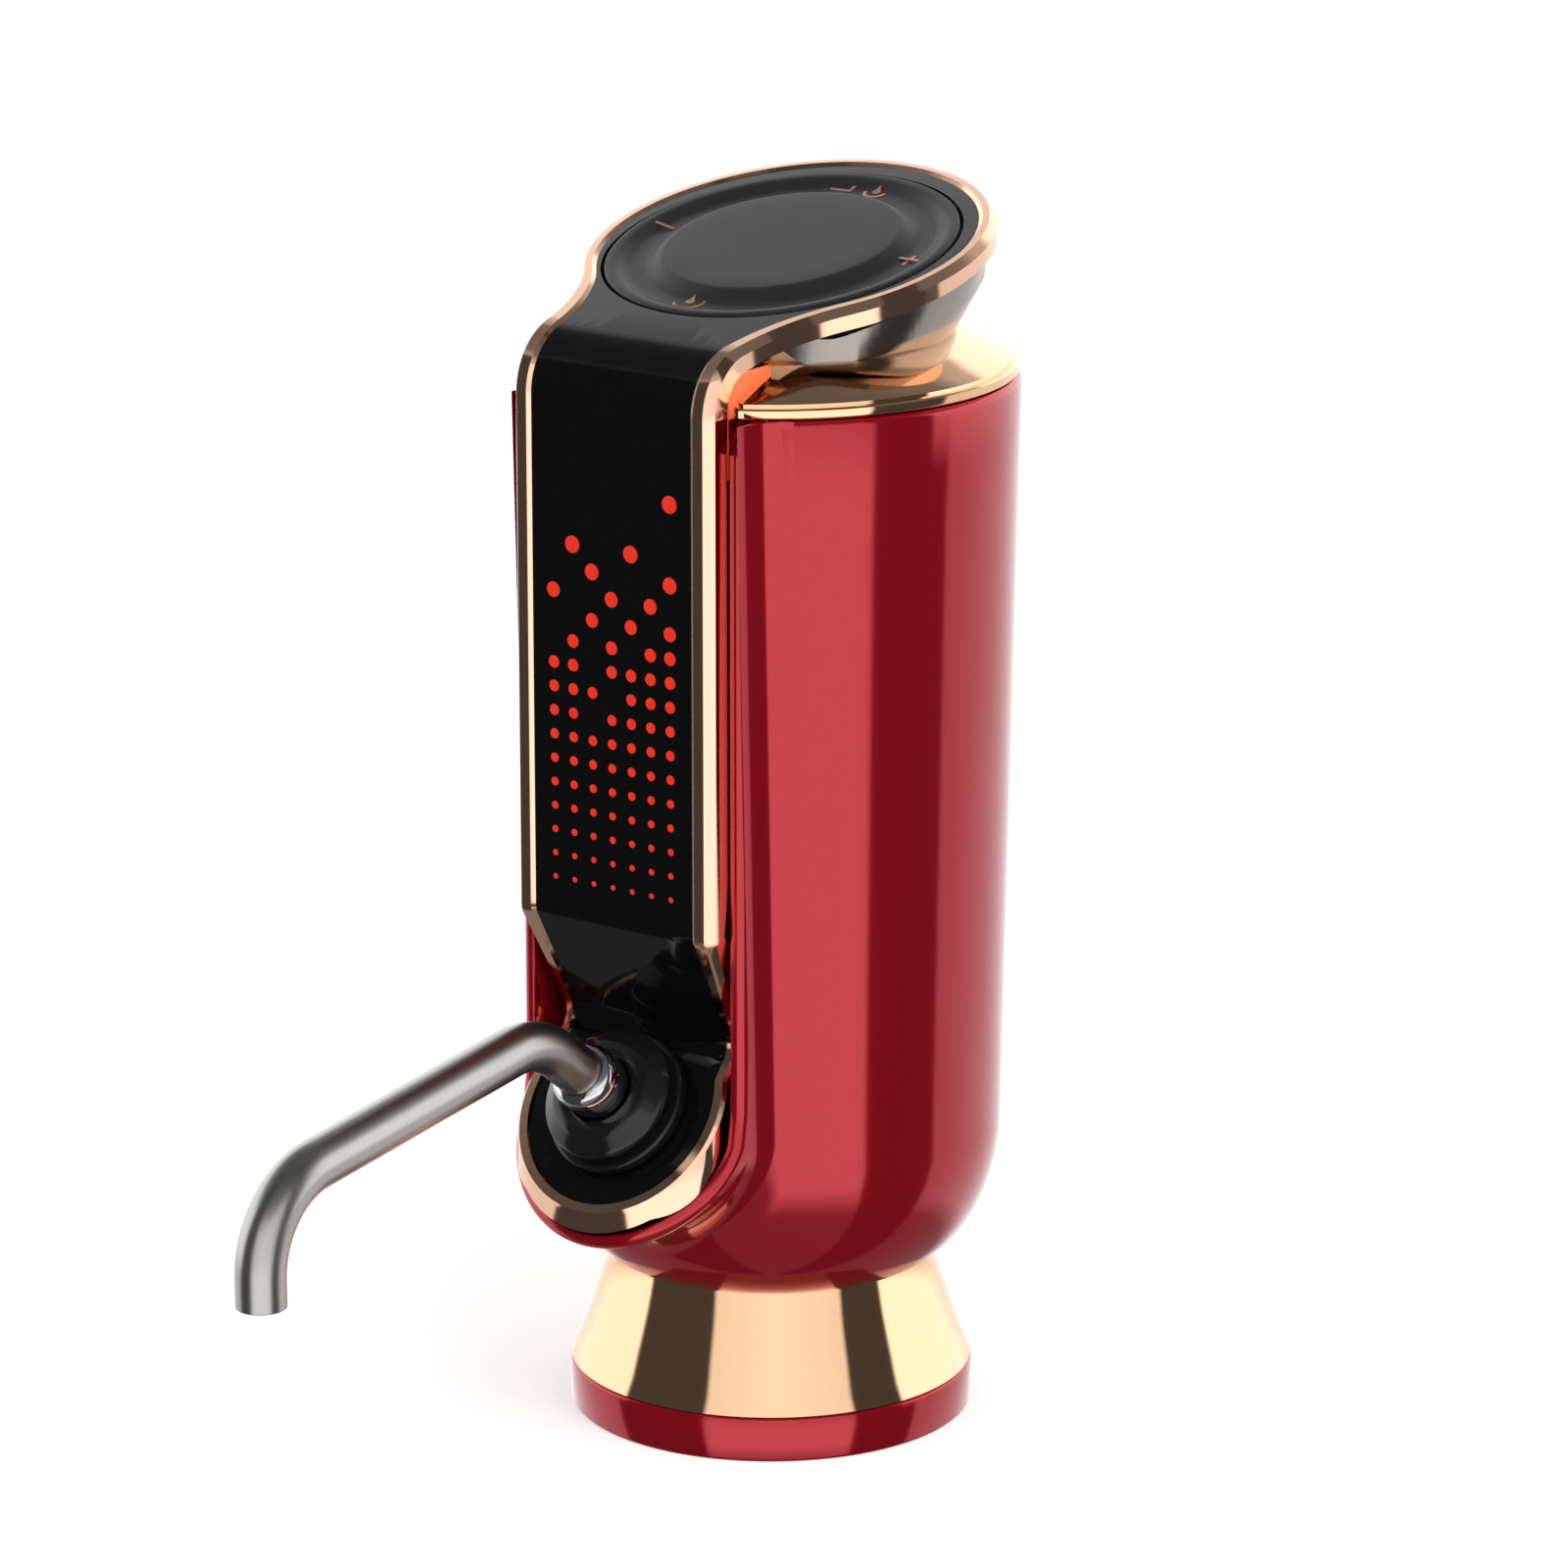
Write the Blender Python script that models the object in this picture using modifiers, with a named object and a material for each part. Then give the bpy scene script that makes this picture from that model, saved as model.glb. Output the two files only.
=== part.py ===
"""Electric wine aerator: a bottle-top air pump with a swivelling spout, standing on its own foot.

Metres, +Z up. The origin is on the body's axis, on the plane that the foot ring stands on.
The display panel and the spout face -Y.
"""

import math

import bmesh
import bpy
from mathutils import Matrix, Vector

# Clearances, and how finely round pieces are faceted
SEAM = 0.0002
GAP = 0.0003
RUNNING_GAP = 0.0004
OVERRUN = 0.005
SHELL_SIDES = 36
ROUND_SIDES = 20
SMALL_SIDES = 12
SMOOTH_DEGREES = 40
MERGE = 0.00001

# Foot ring and the trumpet-shaped skirt above it
FOOT_RADIUS = 0.0250
FOOT_HEIGHT = 0.0056
FOOT_WIDTH = 0.0040
FOOT_EDGE = 0.0004
FOOT_LIP_HEIGHT = 0.0024
FOOT_LIP_WALL = 0.0012
SKIRT_WAIST_RADIUS = 0.0200
SKIRT_HEIGHT = 0.0182
SKIRT_STRAIGHT = 0.0036
SKIRT_WALL = 0.0016
SKIRT_FLARE_SHARE = 1.4
SKIRT_STEPS = 5

# Red body shell: a slightly tapered tube with a rounded bottom
BODY_BOTTOM_RADIUS = 0.01633
BODY_BOTTOM_WIDTH = 0.01212
BODY_BOTTOM_HEIGHT = 0.0190
BODY_LOW = 0.0190
BODY_TAPER = 0.00185
BODY_LENGTH = 0.1119
BODY_WALL = 0.0018
BODY_STEPS = 6

# Cheeks and chin, the raised surround of the display and the spout
CHEEK_HALF_WIDTH = 0.0162
CHEEK_WALL = 0.0013
CHEEK_SETBACK = 0.0015
CHEEK_FILLET = 0.0040
CHIN_DROP = 0.0026
CHIN_DEPTH = 0.0134
POCKET_DEPTH = 0.0069
CHIN_SETBACK = 0.0042

# Gold rings and the mirror-finished neck under the cap
STEP_RING_SETBACK = 0.0003
STEP_RING_HEIGHT = 0.0012
RING_SPIGOT = 0.0028
RING_WIDTH = 0.0035
SHOULDER_SETBACK = 0.0008
SHOULDER_WIDTH = 0.0064
SHOULDER_HEIGHT = 0.0032
SHOULDER_WALL = 0.0013
SHOULDER_BULGE_SHARE = 0.15
NECK_SETBACK = 0.0006
NECK_SLOPE_SHARE = 0.531
NECK_WALL = 0.0016
NECK_INSET = 0.0011
NECK_RISE = 0.0170

# Ribbon: the black face and its metal trim, bent from the cap over the front to the spout plate
CAP_CENTRE_BACK = 0.0033
CAP_RISE = 0.0153
CAP_TILT_DEGREES = 13.3
CAP_RADIUS = 0.02545
CAP_TRIM_WIDTH = 0.00225
CAP_TRIM_DEPTH = 0.00245
CAP_FILLET = 0.0282
PANEL_STAND = 0.0030
HOOK_RISE = 0.0227
PANEL_HALF_WIDTH = 0.01367
PANEL_TRIM_WIDTH = 0.0015
PANEL_TRIM_DEPTH = 0.0036
PANEL_BEND = 0.0080
HOOK_DEGREES = 28.2
HOOK_TRIM_DEPTH = 0.0030
PLATE_SETBACK = 0.0014
PLATE_HEIGHT = 0.0456
PLATE_TILT_DEGREES = 52.0
PLATE_RADIUS = 0.01435
PLATE_WAIST = 0.01285
PLATE_TRIM_DEPTH = 0.0015
RIBBON_STEPS = 6
FACE_SINK = 0.00015
PLATE_SINK = 0.0004
FACE_THICKNESS = 0.0012

# Light window behind the front face
WINDOW_HALF_WIDTH = 0.0104
WINDOW_SILL = 0.0022
WINDOW_LENGTH = 0.0500
DIFFUSER_THICKNESS = 0.0012
LED_BOARD_HALF_WIDTH = 0.0114
LED_BOARD_LENGTH = 0.0530
LED_BOARD_THICKNESS = 0.0010

# Boss under the display and the spout that turns in it
BOSS_FLANGE_RADIUS = 0.0091
BOSS_FLANGE_HEIGHT = 0.0015
BOSS_BORE = 0.0056
NUT_RADIUS = 0.0084
NUT_RIM_HEIGHT = 0.0016
NUT_TAPER_HEIGHT = 0.0026
NUT_TOP_RADIUS = 0.0052
NUT_LIP = 0.0012
SPOUT_RADIUS = 0.0030
SPOUT_WALL = 0.0006
COLLAR_WALL = 0.0009
COLLAR_LENGTH = 0.0046
COLLAR_EDGE = 0.0003
SPOUT_RISE = 0.0204
SPOUT_RUN = 0.05065
SPOUT_FALL_DEGREES = 6.7
SPOUT_DROP = 0.0131
SPOUT_FIRST_BEND = 0.0125
SPOUT_LAST_BEND = 0.0110
SPOUT_DEPTH = 0.0068
SPOUT_BEND_STEPS = 7
SPOUT_RESOLUTION = 4
SOCKET_WALL = 0.0018
SOCKET_LENGTH = 0.0150
SOCKET_FLANGE = 0.0078
SOCKET_FLANGE_THICKNESS = 0.0014
SOCKET_BORE = 0.0013
BARB_RADIUS = 0.0022
BARB_LENGTH = 0.0030
SEAL_RING_WIRE = 0.0006

# Control pad on the cap: a dish that rocks on a gimbal over four switches
PAD_RADIUS = 0.0216
PAD_SHIFT = 0.00115
PAD_RUNNING_GAP = 0.0004
PAD_THICKNESS = 0.0018
PAD_TABLE_RADIUS = 0.0145
PAD_TABLE_FOOT = 0.0169
PAD_TABLE_RISE = 0.0003
PAD_MOAT = 0.0009
PAD_RIM = 0.0006
SWITCH_CIRCLE = 0.0150
SWITCH_WIDTH = 0.0045
SWITCH_HEIGHT = 0.0011
SWITCH_TRAVEL = 0.0006
BUTTON_BOARD_RADIUS = 0.0195
BUTTON_BOARD_THICKNESS = 0.0010
BUTTON_BOARD_HOLE = 0.0085
CARRIER_THICKNESS = 0.0015
YOKE_RADIUS = 0.0120
YOKE_THICKNESS = 0.0012
YOKE_EAR_THICKNESS = 0.0016
YOKE_EAR_WIDTH = 0.0040
GIMBAL_RADIUS = 0.0059
GIMBAL_WALL = 0.0020
GIMBAL_HEIGHT = 0.0024
TRUNNION_RADIUS = 0.0008
PAD_POST_RADIUS = 0.0024

# Stopper that goes into a bottle's neck, its plate, and the two pipes through it
PLATE_EDGE_GAP = 0.0004
SOCKET_PLATE_THICKNESS = 0.0022
SOCKET_PLUG_DEPTH = 0.0020
BOSS_CIRCLE = 0.0170
BOSS_RADIUS = 0.0028
BOSS_HEIGHT = 0.0032
STOPPER_TOP_RADIUS = 0.0100
STOPPER_LOW_RADIUS = 0.00875
STOPPER_LOW = 0.0006
PIPE_OFFSET = 0.0044
PIPE_RADIUS = 0.0017
PIPE_BORE = 0.0011
PIPE_FLANGE_RADIUS = 0.0034
PIPE_FLANGE_HEIGHT = 0.0012
PIPE_STUB = 0.0020
BOTTLE_SEAL_INNER = 0.0106
BOTTLE_SEAL_OUTER = 0.0178
BOTTLE_SEAL_THICKNESS = 0.0012

# Chassis inside the body, and what stands on its shelf
CHASSIS_PLATE = 0.0020
CHASSIS_RING_INNER = 0.0120
CHASSIS_FRONT = 0.0140
HOSE_CHANNEL = 0.0080
LEG_INNER = 0.0170
LEG_OUTER = 0.0235
SHELF_STAND = 0.0044
POST_HALF_WIDTH = 0.0020
POST_OFFSET = 0.0090
TOP_PLATE_HOLE = 0.0150
SCREW_RADIUS = 0.0010
SCREW_HEAD_RADIUS = 0.0019
SCREW_HEAD_HEIGHT = 0.0013
BATTERY_RADIUS = 0.0092
BATTERY_LENGTH = 0.0650
MAIN_BOARD_OFFSET = 0.0150
MAIN_BOARD_WIDTH = 0.0160
MAIN_BOARD_LENGTH = 0.0600
BOARD_THICKNESS = 0.0012
USB_DROP = 0.0080
USB_HALF_WIDTH = 0.0045
USB_THICKNESS = 0.0033
USB_DEPTH = 0.0072
USB_SHELL = 0.0003
USB_TONGUE = 0.0007
CHARGE_BOARD_HALF_WIDTH = 0.0080
CHARGE_BOARD_DEPTH = 0.0105

# Air pump: head, diaphragm, housing, and a motor with its turning rotor
PUMP_OFFSET = 0.0104
PUMP_HALF_WIDTH = 0.0090
PUMP_HEAD_HEIGHT = 0.0080
DIAPHRAGM_RADIUS = 0.0084
DIAPHRAGM_THICKNESS = 0.0014
PUMP_HOUSING_HEIGHT = 0.0110
PUMP_HOUSING_WALL = 0.0015
MOTOR_RADIUS = 0.0090
MOTOR_WALL = 0.0009
MOTOR_LENGTH = 0.0240
MOTOR_END_THICKNESS = 0.0022
ARMATURE_RADIUS = 0.0070
SHAFT_RADIUS = 0.0010
CRANK_RADIUS = 0.0045
CRANK_OFFSET = 0.0012
CRANK_HEIGHT = 0.0030
CRANK_SPACE = 0.0020

# Aeration chamber, check valve and hoses
CHAMBER_RADIUS = 0.0043
CHAMBER_WALL = 0.0012
CHAMBER_LENGTH = 0.0110
VALVE_RADIUS = 0.0039
VALVE_BORE = 0.0026
VALVE_LENGTH = 0.0120
VALVE_SEAT = 0.0020
VALVE_LIFT = 0.0008
POPPET_RADIUS = 0.0022
POPPET_THICKNESS = 0.0012
POPPET_STEM = 0.0009
POPPET_STEM_LENGTH = 0.0030
HOSE_RADIUS = 0.0019
HOSE_BORE = 0.0011
HOSE_CURVE = 0.0100
AIR_HOSE_CURVE = 0.0050
HOSE_STEPS = 8


def clear_scene():
    """Empty the file it is run in, so that only the aerator is left."""
    for item in list(bpy.data.objects):
        bpy.data.objects.remove(item)


def new_collection(name):
    collection = bpy.data.collections.new(name)
    bpy.context.scene.collection.children.link(collection)
    return collection


clear_scene()
PARTS = new_collection("electric_wine_aerator")
CUTTERS = new_collection("cutters")


def finish(name, colour, roughness, metallic):
    """One plain Principled material."""
    made = bpy.data.materials.new(name)
    made.use_nodes = True
    shader = made.node_tree.nodes["Principled BSDF"]
    shader.inputs["Base Color"].default_value = (*colour, 1.0)
    shader.inputs["Roughness"].default_value = roughness
    shader.inputs["Metallic"].default_value = metallic
    return made


RED_LACQUER = finish("red_lacquer", (0.42, 0.012, 0.03), 0.12, 0.0)
ROSE_GOLD = finish("rose_gold", (0.80, 0.52, 0.40), 0.15, 1.0)
BASE_GOLD = finish("pale_gold", (0.95, 0.68, 0.45), 0.12, 1.0)
MIRROR = finish("mirror_chrome", (0.75, 0.72, 0.70), 0.06, 1.0)
GLOSS_BLACK = finish("gloss_black", (0.006, 0.006, 0.007), 0.08, 0.0)
MATTE_BLACK = finish("matte_black", (0.03, 0.03, 0.032), 0.5, 0.0)
SATIN_STEEL = finish("satin_steel", (0.55, 0.55, 0.56), 0.3, 1.0)
SILICONE = finish("clear_silicone", (0.7, 0.7, 0.68), 0.5, 0.0)
BLACK_RUBBER = finish("black_rubber", (0.02, 0.02, 0.02), 0.7, 0.0)
INNER_PLASTIC = finish("inner_plastic", (0.05, 0.05, 0.055), 0.5, 0.0)
BOARD_GREEN = finish("circuit_board", (0.02, 0.15, 0.07), 0.4, 0.0)
CELL_WRAP = finish("cell_wrap", (0.03, 0.12, 0.4), 0.4, 0.0)
MOTOR_STEEL = finish("motor_steel", (0.5, 0.5, 0.5), 0.35, 1.0)
WHITE_PLASTIC = finish("white_plastic", (0.75, 0.75, 0.73), 0.4, 0.0)


def place(item, coat=None):
    """Put a piece among the parts, or a cutter among the cutters."""
    for collection in list(item.users_collection):
        collection.objects.unlink(item)
    if coat is None:
        CUTTERS.objects.link(item)
        item.hide_render = True
        item.display_type = "WIRE"
        return item
    PARTS.objects.link(item)
    item.data.materials.clear()
    item.data.materials.append(coat)
    if len(item.data.polygons):
        item.data.shade_smooth()
        item.data.set_sharp_from_angle(angle=math.radians(SMOOTH_DEGREES))
    return item


def turned(name, profile, coat=None, sides=ROUND_SIDES, stand=None):
    """A turned solid: (radius, height) points down the outside, then back up inside or along the axis."""
    mesh = bpy.data.meshes.new(name)
    closed = min(radius for radius, _ in profile) > 0
    count = len(profile)
    ends = count if closed else count - 1
    mesh.from_pydata(
        [(radius, 0, height) for radius, height in profile],
        [(i, (i + 1) % count) for i in range(ends)],
        [],
    )
    item = bpy.data.objects.new(name, mesh)
    screw = item.modifiers.new("turn", "SCREW")
    screw.steps = sides
    screw.render_steps = sides
    screw.use_merge_vertices = True
    screw.merge_threshold = MERGE
    screw.use_smooth_shade = True
    if stand is not None:
        item.matrix_world = stand
    return place(item, coat)


def prism(name, outline, low, high, turn=None, coat=None):
    """A flat outline made into a solid between two heights, then turned as a whole."""
    curve = bpy.data.curves.new(name, "CURVE")
    curve.dimensions = "2D"
    curve.fill_mode = "BOTH"
    curve.extrude = (high - low) / 2
    spline = curve.splines.new("POLY")
    spline.points.add(len(outline) - 1)
    for point, (across, along) in zip(spline.points, outline):
        point.co = (across, along, 0, 1)
    spline.use_cyclic_u = True
    guide = bpy.data.objects.new(name + "_outline", curve)
    guide.matrix_world = (turn or Matrix()) @ Matrix.Translation((0, 0, (low + high) / 2))
    CUTTERS.objects.link(guide)
    return solid_from(guide, name, coat)


def solid_from(guide, name, coat=None):
    """Make a curve object a closed mesh object that can be cut, and drop the curve."""
    bpy.context.view_layer.update()
    graph = bpy.context.evaluated_depsgraph_get()
    mesh = bpy.data.meshes.new_from_object(guide.evaluated_get(graph))
    mesh.name = name
    work = bmesh.new()
    work.from_mesh(mesh)
    bmesh.ops.remove_doubles(work, verts=work.verts, dist=MERGE)
    bmesh.ops.recalc_face_normals(work, faces=work.faces)
    work.to_mesh(mesh)
    work.free()
    item = bpy.data.objects.new(name, mesh)
    item.matrix_world = guide.matrix_world.copy()
    bpy.data.objects.remove(guide)
    return place(item, coat)


def box(name, low, high, coat=None, stand=None):
    """A block between two opposite corners."""
    mesh = bpy.data.meshes.new(name)
    work = bmesh.new()
    bmesh.ops.create_cube(work, size=1)
    size = [top - bottom for bottom, top in zip(low, high)]
    middle = [(top + bottom) / 2 for bottom, top in zip(low, high)]
    bmesh.ops.scale(work, vec=size, verts=work.verts)
    bmesh.ops.translate(work, vec=middle, verts=work.verts)
    work.to_mesh(mesh)
    work.free()
    item = bpy.data.objects.new(name, mesh)
    if stand is not None:
        item.matrix_world = stand
    return place(item, coat)


def rod(name, radius, low, high, coat=None, stand=None, sides=SMALL_SIDES):
    """A plain round bar between two heights on its own axis."""
    mesh = bpy.data.meshes.new(name)
    work = bmesh.new()
    bmesh.ops.create_cone(
        work, cap_ends=True, segments=sides, radius1=radius, radius2=radius, depth=high - low
    )
    bmesh.ops.translate(work, vec=(0, 0, (low + high) / 2), verts=work.verts)
    work.to_mesh(mesh)
    work.free()
    item = bpy.data.objects.new(name, mesh)
    if stand is not None:
        item.matrix_world = stand
    return place(item, coat)


def piped(name, points, radius, coat=None, resolution=2):
    """A round bar along a line of points."""
    curve = bpy.data.curves.new(name, "CURVE")
    curve.dimensions = "3D"
    curve.bevel_depth = radius
    curve.bevel_resolution = resolution
    curve.use_fill_caps = True
    spline = curve.splines.new("POLY")
    spline.points.add(len(points) - 1)
    for point, spot in zip(spline.points, points):
        point.co = (*spot, 1)
    guide = bpy.data.objects.new(name + "_line", curve)
    CUTTERS.objects.link(guide)
    return solid_from(guide, name, coat)


def combine(target, other, operation):
    """Cut, join or limit one solid by another that stays behind as a guide."""
    step = target.modifiers.new(operation.lower() + "_" + other.name, "BOOLEAN")
    step.operation = operation
    step.solver = "EXACT"
    step.object = other
    return target


def cut(target, *others):
    for other in others:
        combine(target, other, "DIFFERENCE")
    return target


def join(target, *others):
    for other in others:
        combine(target, other, "UNION")
    return target


def keep_inside(target, *others):
    for other in others:
        combine(target, other, "INTERSECT")
    return target


def arc(centre, radii, start, end, steps):
    """Points on an ellipse from one angle to another, in degrees."""
    points = []
    for i in range(steps + 1):
        angle = math.radians(start + (end - start) * i / steps)
        points.append(
            (centre[0] + radii[0] * math.cos(angle), centre[1] + radii[1] * math.sin(angle))
        )
    return points


def rounded(corners, radii, steps):
    """A line through corners, with each inner corner replaced by an arc of its own radius."""
    points = [corners[0]]
    for before, corner, after, radius in zip(corners, corners[1:], corners[2:], radii):
        back = (Vector(before) - Vector(corner)).normalized()
        ahead = (Vector(after) - Vector(corner)).normalized()
        if radius <= 0:
            points.append(corner)
            continue
        half = back.angle(ahead) / 2
        reach = radius / math.tan(half)
        centre = Vector(corner) + (back + ahead).normalized() * radius / math.sin(half)
        start = Vector(corner) + back * reach - centre
        end = Vector(corner) + ahead * reach - centre
        whole = start.angle(end)
        for i in range(steps + 1):
            share = i / steps
            spoke = start * math.sin((1 - share) * whole) + end * math.sin(share * whole)
            points.append(tuple(centre + spoke / math.sin(whole)))
    points.append(corners[-1])
    return points


def shifted(corners, depths):
    """The corners of a line whose stretches are each moved to their left by their own depth."""
    lines = []
    for start, end, depth in zip(corners, corners[1:], depths):
        along = (Vector(end) - Vector(start)).normalized()
        left = Vector((-along.y, along.x)) * depth
        lines.append((Vector(start) + left, along))
    moved = [tuple(lines[0][0])]
    for (first, ahead), (second, onward) in zip(lines, lines[1:]):
        gap = second - first
        turn = ahead.x * onward.y - ahead.y * onward.x
        reach = (gap.x * onward.y - gap.y * onward.x) / turn
        moved.append(tuple(first + ahead * reach))
    along = lines[-1][1]
    left = Vector((-along.y, along.x)) * depths[-1]
    moved.append(tuple(Vector(corners[-1]) + left))
    return moved


# Turns that stand an outline up: (across, along) becomes (x, z) facing -Y, or (y, z) facing +X
FACING_FRONT = Matrix(((1, 0, 0, 0), (0, 0, -1, 0), (0, 1, 0, 0), (0, 0, 0, 1)))
FACING_SIDE = Matrix(((0, 0, 1, 0), (1, 0, 0, 0), (0, 1, 0, 0), (0, 0, 0, 1)))


# Radii, heights and places that follow from the sizes above
SKIRT_FOOT = FOOT_HEIGHT + SEAM
SKIRT_WAIST_HEIGHT = SKIRT_FOOT + SKIRT_HEIGHT - SKIRT_STRAIGHT
SKIRT_TOP = SKIRT_FOOT + SKIRT_HEIGHT
BODY_CURVE_TOP = BODY_LOW + BODY_BOTTOM_HEIGHT
BODY_CURVE_RADIUS = BODY_BOTTOM_RADIUS + BODY_BOTTOM_WIDTH
BODY_HOLE = SKIRT_WAIST_RADIUS + RUNNING_GAP
BODY_TOP = BODY_LOW + BODY_LENGTH
BODY_TOP_RADIUS = BODY_CURVE_RADIUS + BODY_TAPER
STEP_RING_RADIUS = BODY_TOP_RADIUS - STEP_RING_SETBACK
SHOULDER_FOOT_RADIUS = STEP_RING_RADIUS - SHOULDER_SETBACK
SHOULDER_TOP_RADIUS = SHOULDER_FOOT_RADIUS - SHOULDER_WIDTH
NECK_RADIUS = SHOULDER_TOP_RADIUS - NECK_SETBACK
CAP_CENTRE_HEIGHT = BODY_TOP + CAP_RISE
CHEEK_FRONT = BODY_TOP_RADIUS - CHEEK_SETBACK
POCKET_BACK = CHEEK_FRONT - POCKET_DEPTH
PANEL_FRONT = CHEEK_FRONT + PANEL_STAND
PLATE_BACK = PANEL_FRONT - PLATE_SETBACK
CHIN_CENTRE = PLATE_HEIGHT - CHIN_DROP
PANEL_BOTTOM = PLATE_HEIGHT + HOOK_RISE
WINDOW_LOW = PANEL_BOTTOM + WINDOW_SILL
SHELF_HEIGHT = PLATE_HEIGHT + SHELF_STAND
USB_HEIGHT = SHELF_HEIGHT - USB_DROP
STEP_RING_TOP = BODY_TOP + SEAM + STEP_RING_HEIGHT
SHOULDER_LOW = STEP_RING_TOP + SEAM
SHOULDER_TOP = SHOULDER_LOW + SHOULDER_HEIGHT
SPIGOT_LOW = BODY_TOP - RING_SPIGOT
PANEL_GAP_HALF_WIDTH = PANEL_HALF_WIDTH + 2 * SEAM
COLLAR_RADIUS = SPOUT_RADIUS + SEAM + COLLAR_WALL


def skirt_radius(height):
    """Outer radius of the trumpet: wide at the foot, straight at the waist."""
    drop = max(0.0, (SKIRT_WAIST_HEIGHT - height) / (SKIRT_WAIST_HEIGHT - SKIRT_FOOT))
    return SKIRT_WAIST_RADIUS + (FOOT_RADIUS - SKIRT_WAIST_RADIUS) * drop**SKIRT_FLARE_SHARE


def bottom_radius(height, inset):
    """Radius of the body's rounded bottom, or of a surface that lies inset from it."""
    down = (BODY_CURVE_TOP - height) / (BODY_BOTTOM_HEIGHT - inset)
    return BODY_BOTTOM_RADIUS + (BODY_BOTTOM_WIDTH - inset) * math.sqrt(max(0.0, 1 - down * down))


def bottom_curve(inset, hole):
    """The rounded bottom from its widest circle in to the hole round the skirt."""
    reach = (hole - BODY_BOTTOM_RADIUS) / (BODY_BOTTOM_WIDTH - inset)
    last = -math.degrees(math.acos(reach))
    centre = (BODY_BOTTOM_RADIUS, BODY_CURVE_TOP)
    radii = (BODY_BOTTOM_WIDTH - inset, BODY_BOTTOM_HEIGHT - inset)
    return arc(centre, radii, 0, last, BODY_STEPS)


def make_foot():
    lip_top = FOOT_HEIGHT + FOOT_LIP_HEIGHT
    lip_radius = skirt_radius(lip_top) - SKIRT_WALL - GAP
    inner = FOOT_RADIUS - FOOT_WIDTH
    inner_lip = min(inner, lip_radius - FOOT_LIP_WALL)
    turned(
        "foot_ring",
        [
            (inner_lip, lip_top),
            (lip_radius, lip_top),
            (lip_radius, FOOT_HEIGHT),
            (FOOT_RADIUS, FOOT_HEIGHT),
            (FOOT_RADIUS, FOOT_EDGE),
            (FOOT_RADIUS - FOOT_EDGE, 0),
            (inner_lip, 0),
        ],
        RED_LACQUER,
        SHELL_SIDES,
    )
    heights = [SKIRT_TOP] + [
        SKIRT_WAIST_HEIGHT + (SKIRT_FOOT - SKIRT_WAIST_HEIGHT) * i / SKIRT_STEPS
        for i in range(SKIRT_STEPS + 1)
    ]
    outer = [(skirt_radius(height), height) for height in heights]
    inner_side = [(radius - SKIRT_WALL, height) for radius, height in reversed(outer)]
    turned("skirt", outer + inner_side, BASE_GOLD, SHELL_SIDES)


def chin_outline(half_width, depth, top):
    """Front view of the cheeks: straight sides over a half ellipse."""
    curve = arc((0, CHIN_CENTRE), (half_width, depth), 180, 360, 2 * BODY_STEPS)
    return [(half_width, top), (-half_width, top)] + curve


PLATE_TILT = math.radians(PLATE_TILT_DEGREES)
PLATE_DOWN = Vector((-math.cos(PLATE_TILT), -math.sin(PLATE_TILT)))
PLATE_OUT = Vector((-math.sin(PLATE_TILT), math.cos(PLATE_TILT)))
PLATE_MIDDLE = Vector((-PLATE_BACK, PLATE_HEIGHT))


def plate_point(down, out):
    """A point of the side view: down the spout plate's slope and out from its face."""
    return tuple(PLATE_MIDDLE + PLATE_DOWN * down + PLATE_OUT * out)


def chin_slope(height):
    """How far forward the chin's slanted front edge is at a height."""
    start = plate_point(0, -CHIN_SETBACK)
    run = (start[1] - height) / math.sin(PLATE_TILT)
    return start[0] - run * math.cos(PLATE_TILT)


def make_body():
    outer = [(BODY_TOP_RADIUS, BODY_TOP)] + bottom_curve(0, BODY_HOLE)
    inner = list(reversed(bottom_curve(BODY_WALL, BODY_HOLE)))
    shell = turned(
        "body_shell",
        outer + inner + [(BODY_TOP_RADIUS - BODY_WALL, BODY_TOP)],
        RED_LACQUER,
        SHELL_SIDES,
    )
    start = plate_point(0, -CHIN_SETBACK)
    knee = start[1] - (CHEEK_FRONT + start[0]) * math.tan(PLATE_TILT)
    low = CHIN_CENTRE - CHIN_DEPTH - OVERRUN
    corners = [
        (-POCKET_BACK + CHEEK_WALL, BODY_TOP),
        (-CHEEK_FRONT, BODY_TOP),
        (-CHEEK_FRONT, knee),
        (chin_slope(low), low),
        (-POCKET_BACK + CHEEK_WALL, low),
    ]
    side = rounded(corners, [CHEEK_FILLET, 0, 0], RIBBON_STEPS)
    wide = CHEEK_HALF_WIDTH + OVERRUN
    block = prism("cheek_block", side, -wide, wide, FACING_SIDE)
    outline = chin_outline(CHEEK_HALF_WIDTH, CHIN_DEPTH, BODY_TOP + OVERRUN)
    keep_inside(block, prism("cheek_outline", outline, 0, 2 * BODY_TOP_RADIUS, FACING_FRONT))
    inside = turned(
        "body_inside",
        [(0, BODY_TOP + OVERRUN), (BODY_TOP_RADIUS - BODY_WALL, BODY_TOP + OVERRUN)]
        + [(BODY_TOP_RADIUS - BODY_WALL, BODY_TOP)]
        + bottom_curve(BODY_WALL, BODY_HOLE)
        + [(0, bottom_curve(BODY_WALL, BODY_HOLE)[-1][1])],
        None,
        SHELL_SIDES,
    )
    cut(block, inside)
    hollow = chin_outline(
        CHEEK_HALF_WIDTH - CHEEK_WALL, CHIN_DEPTH - CHEEK_WALL, BODY_TOP + OVERRUN
    )
    pocket = prism("pocket", hollow, POCKET_BACK, 2 * BODY_TOP_RADIUS, FACING_FRONT)
    join(shell, block)
    cut(shell, pocket)
    return shell


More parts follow.
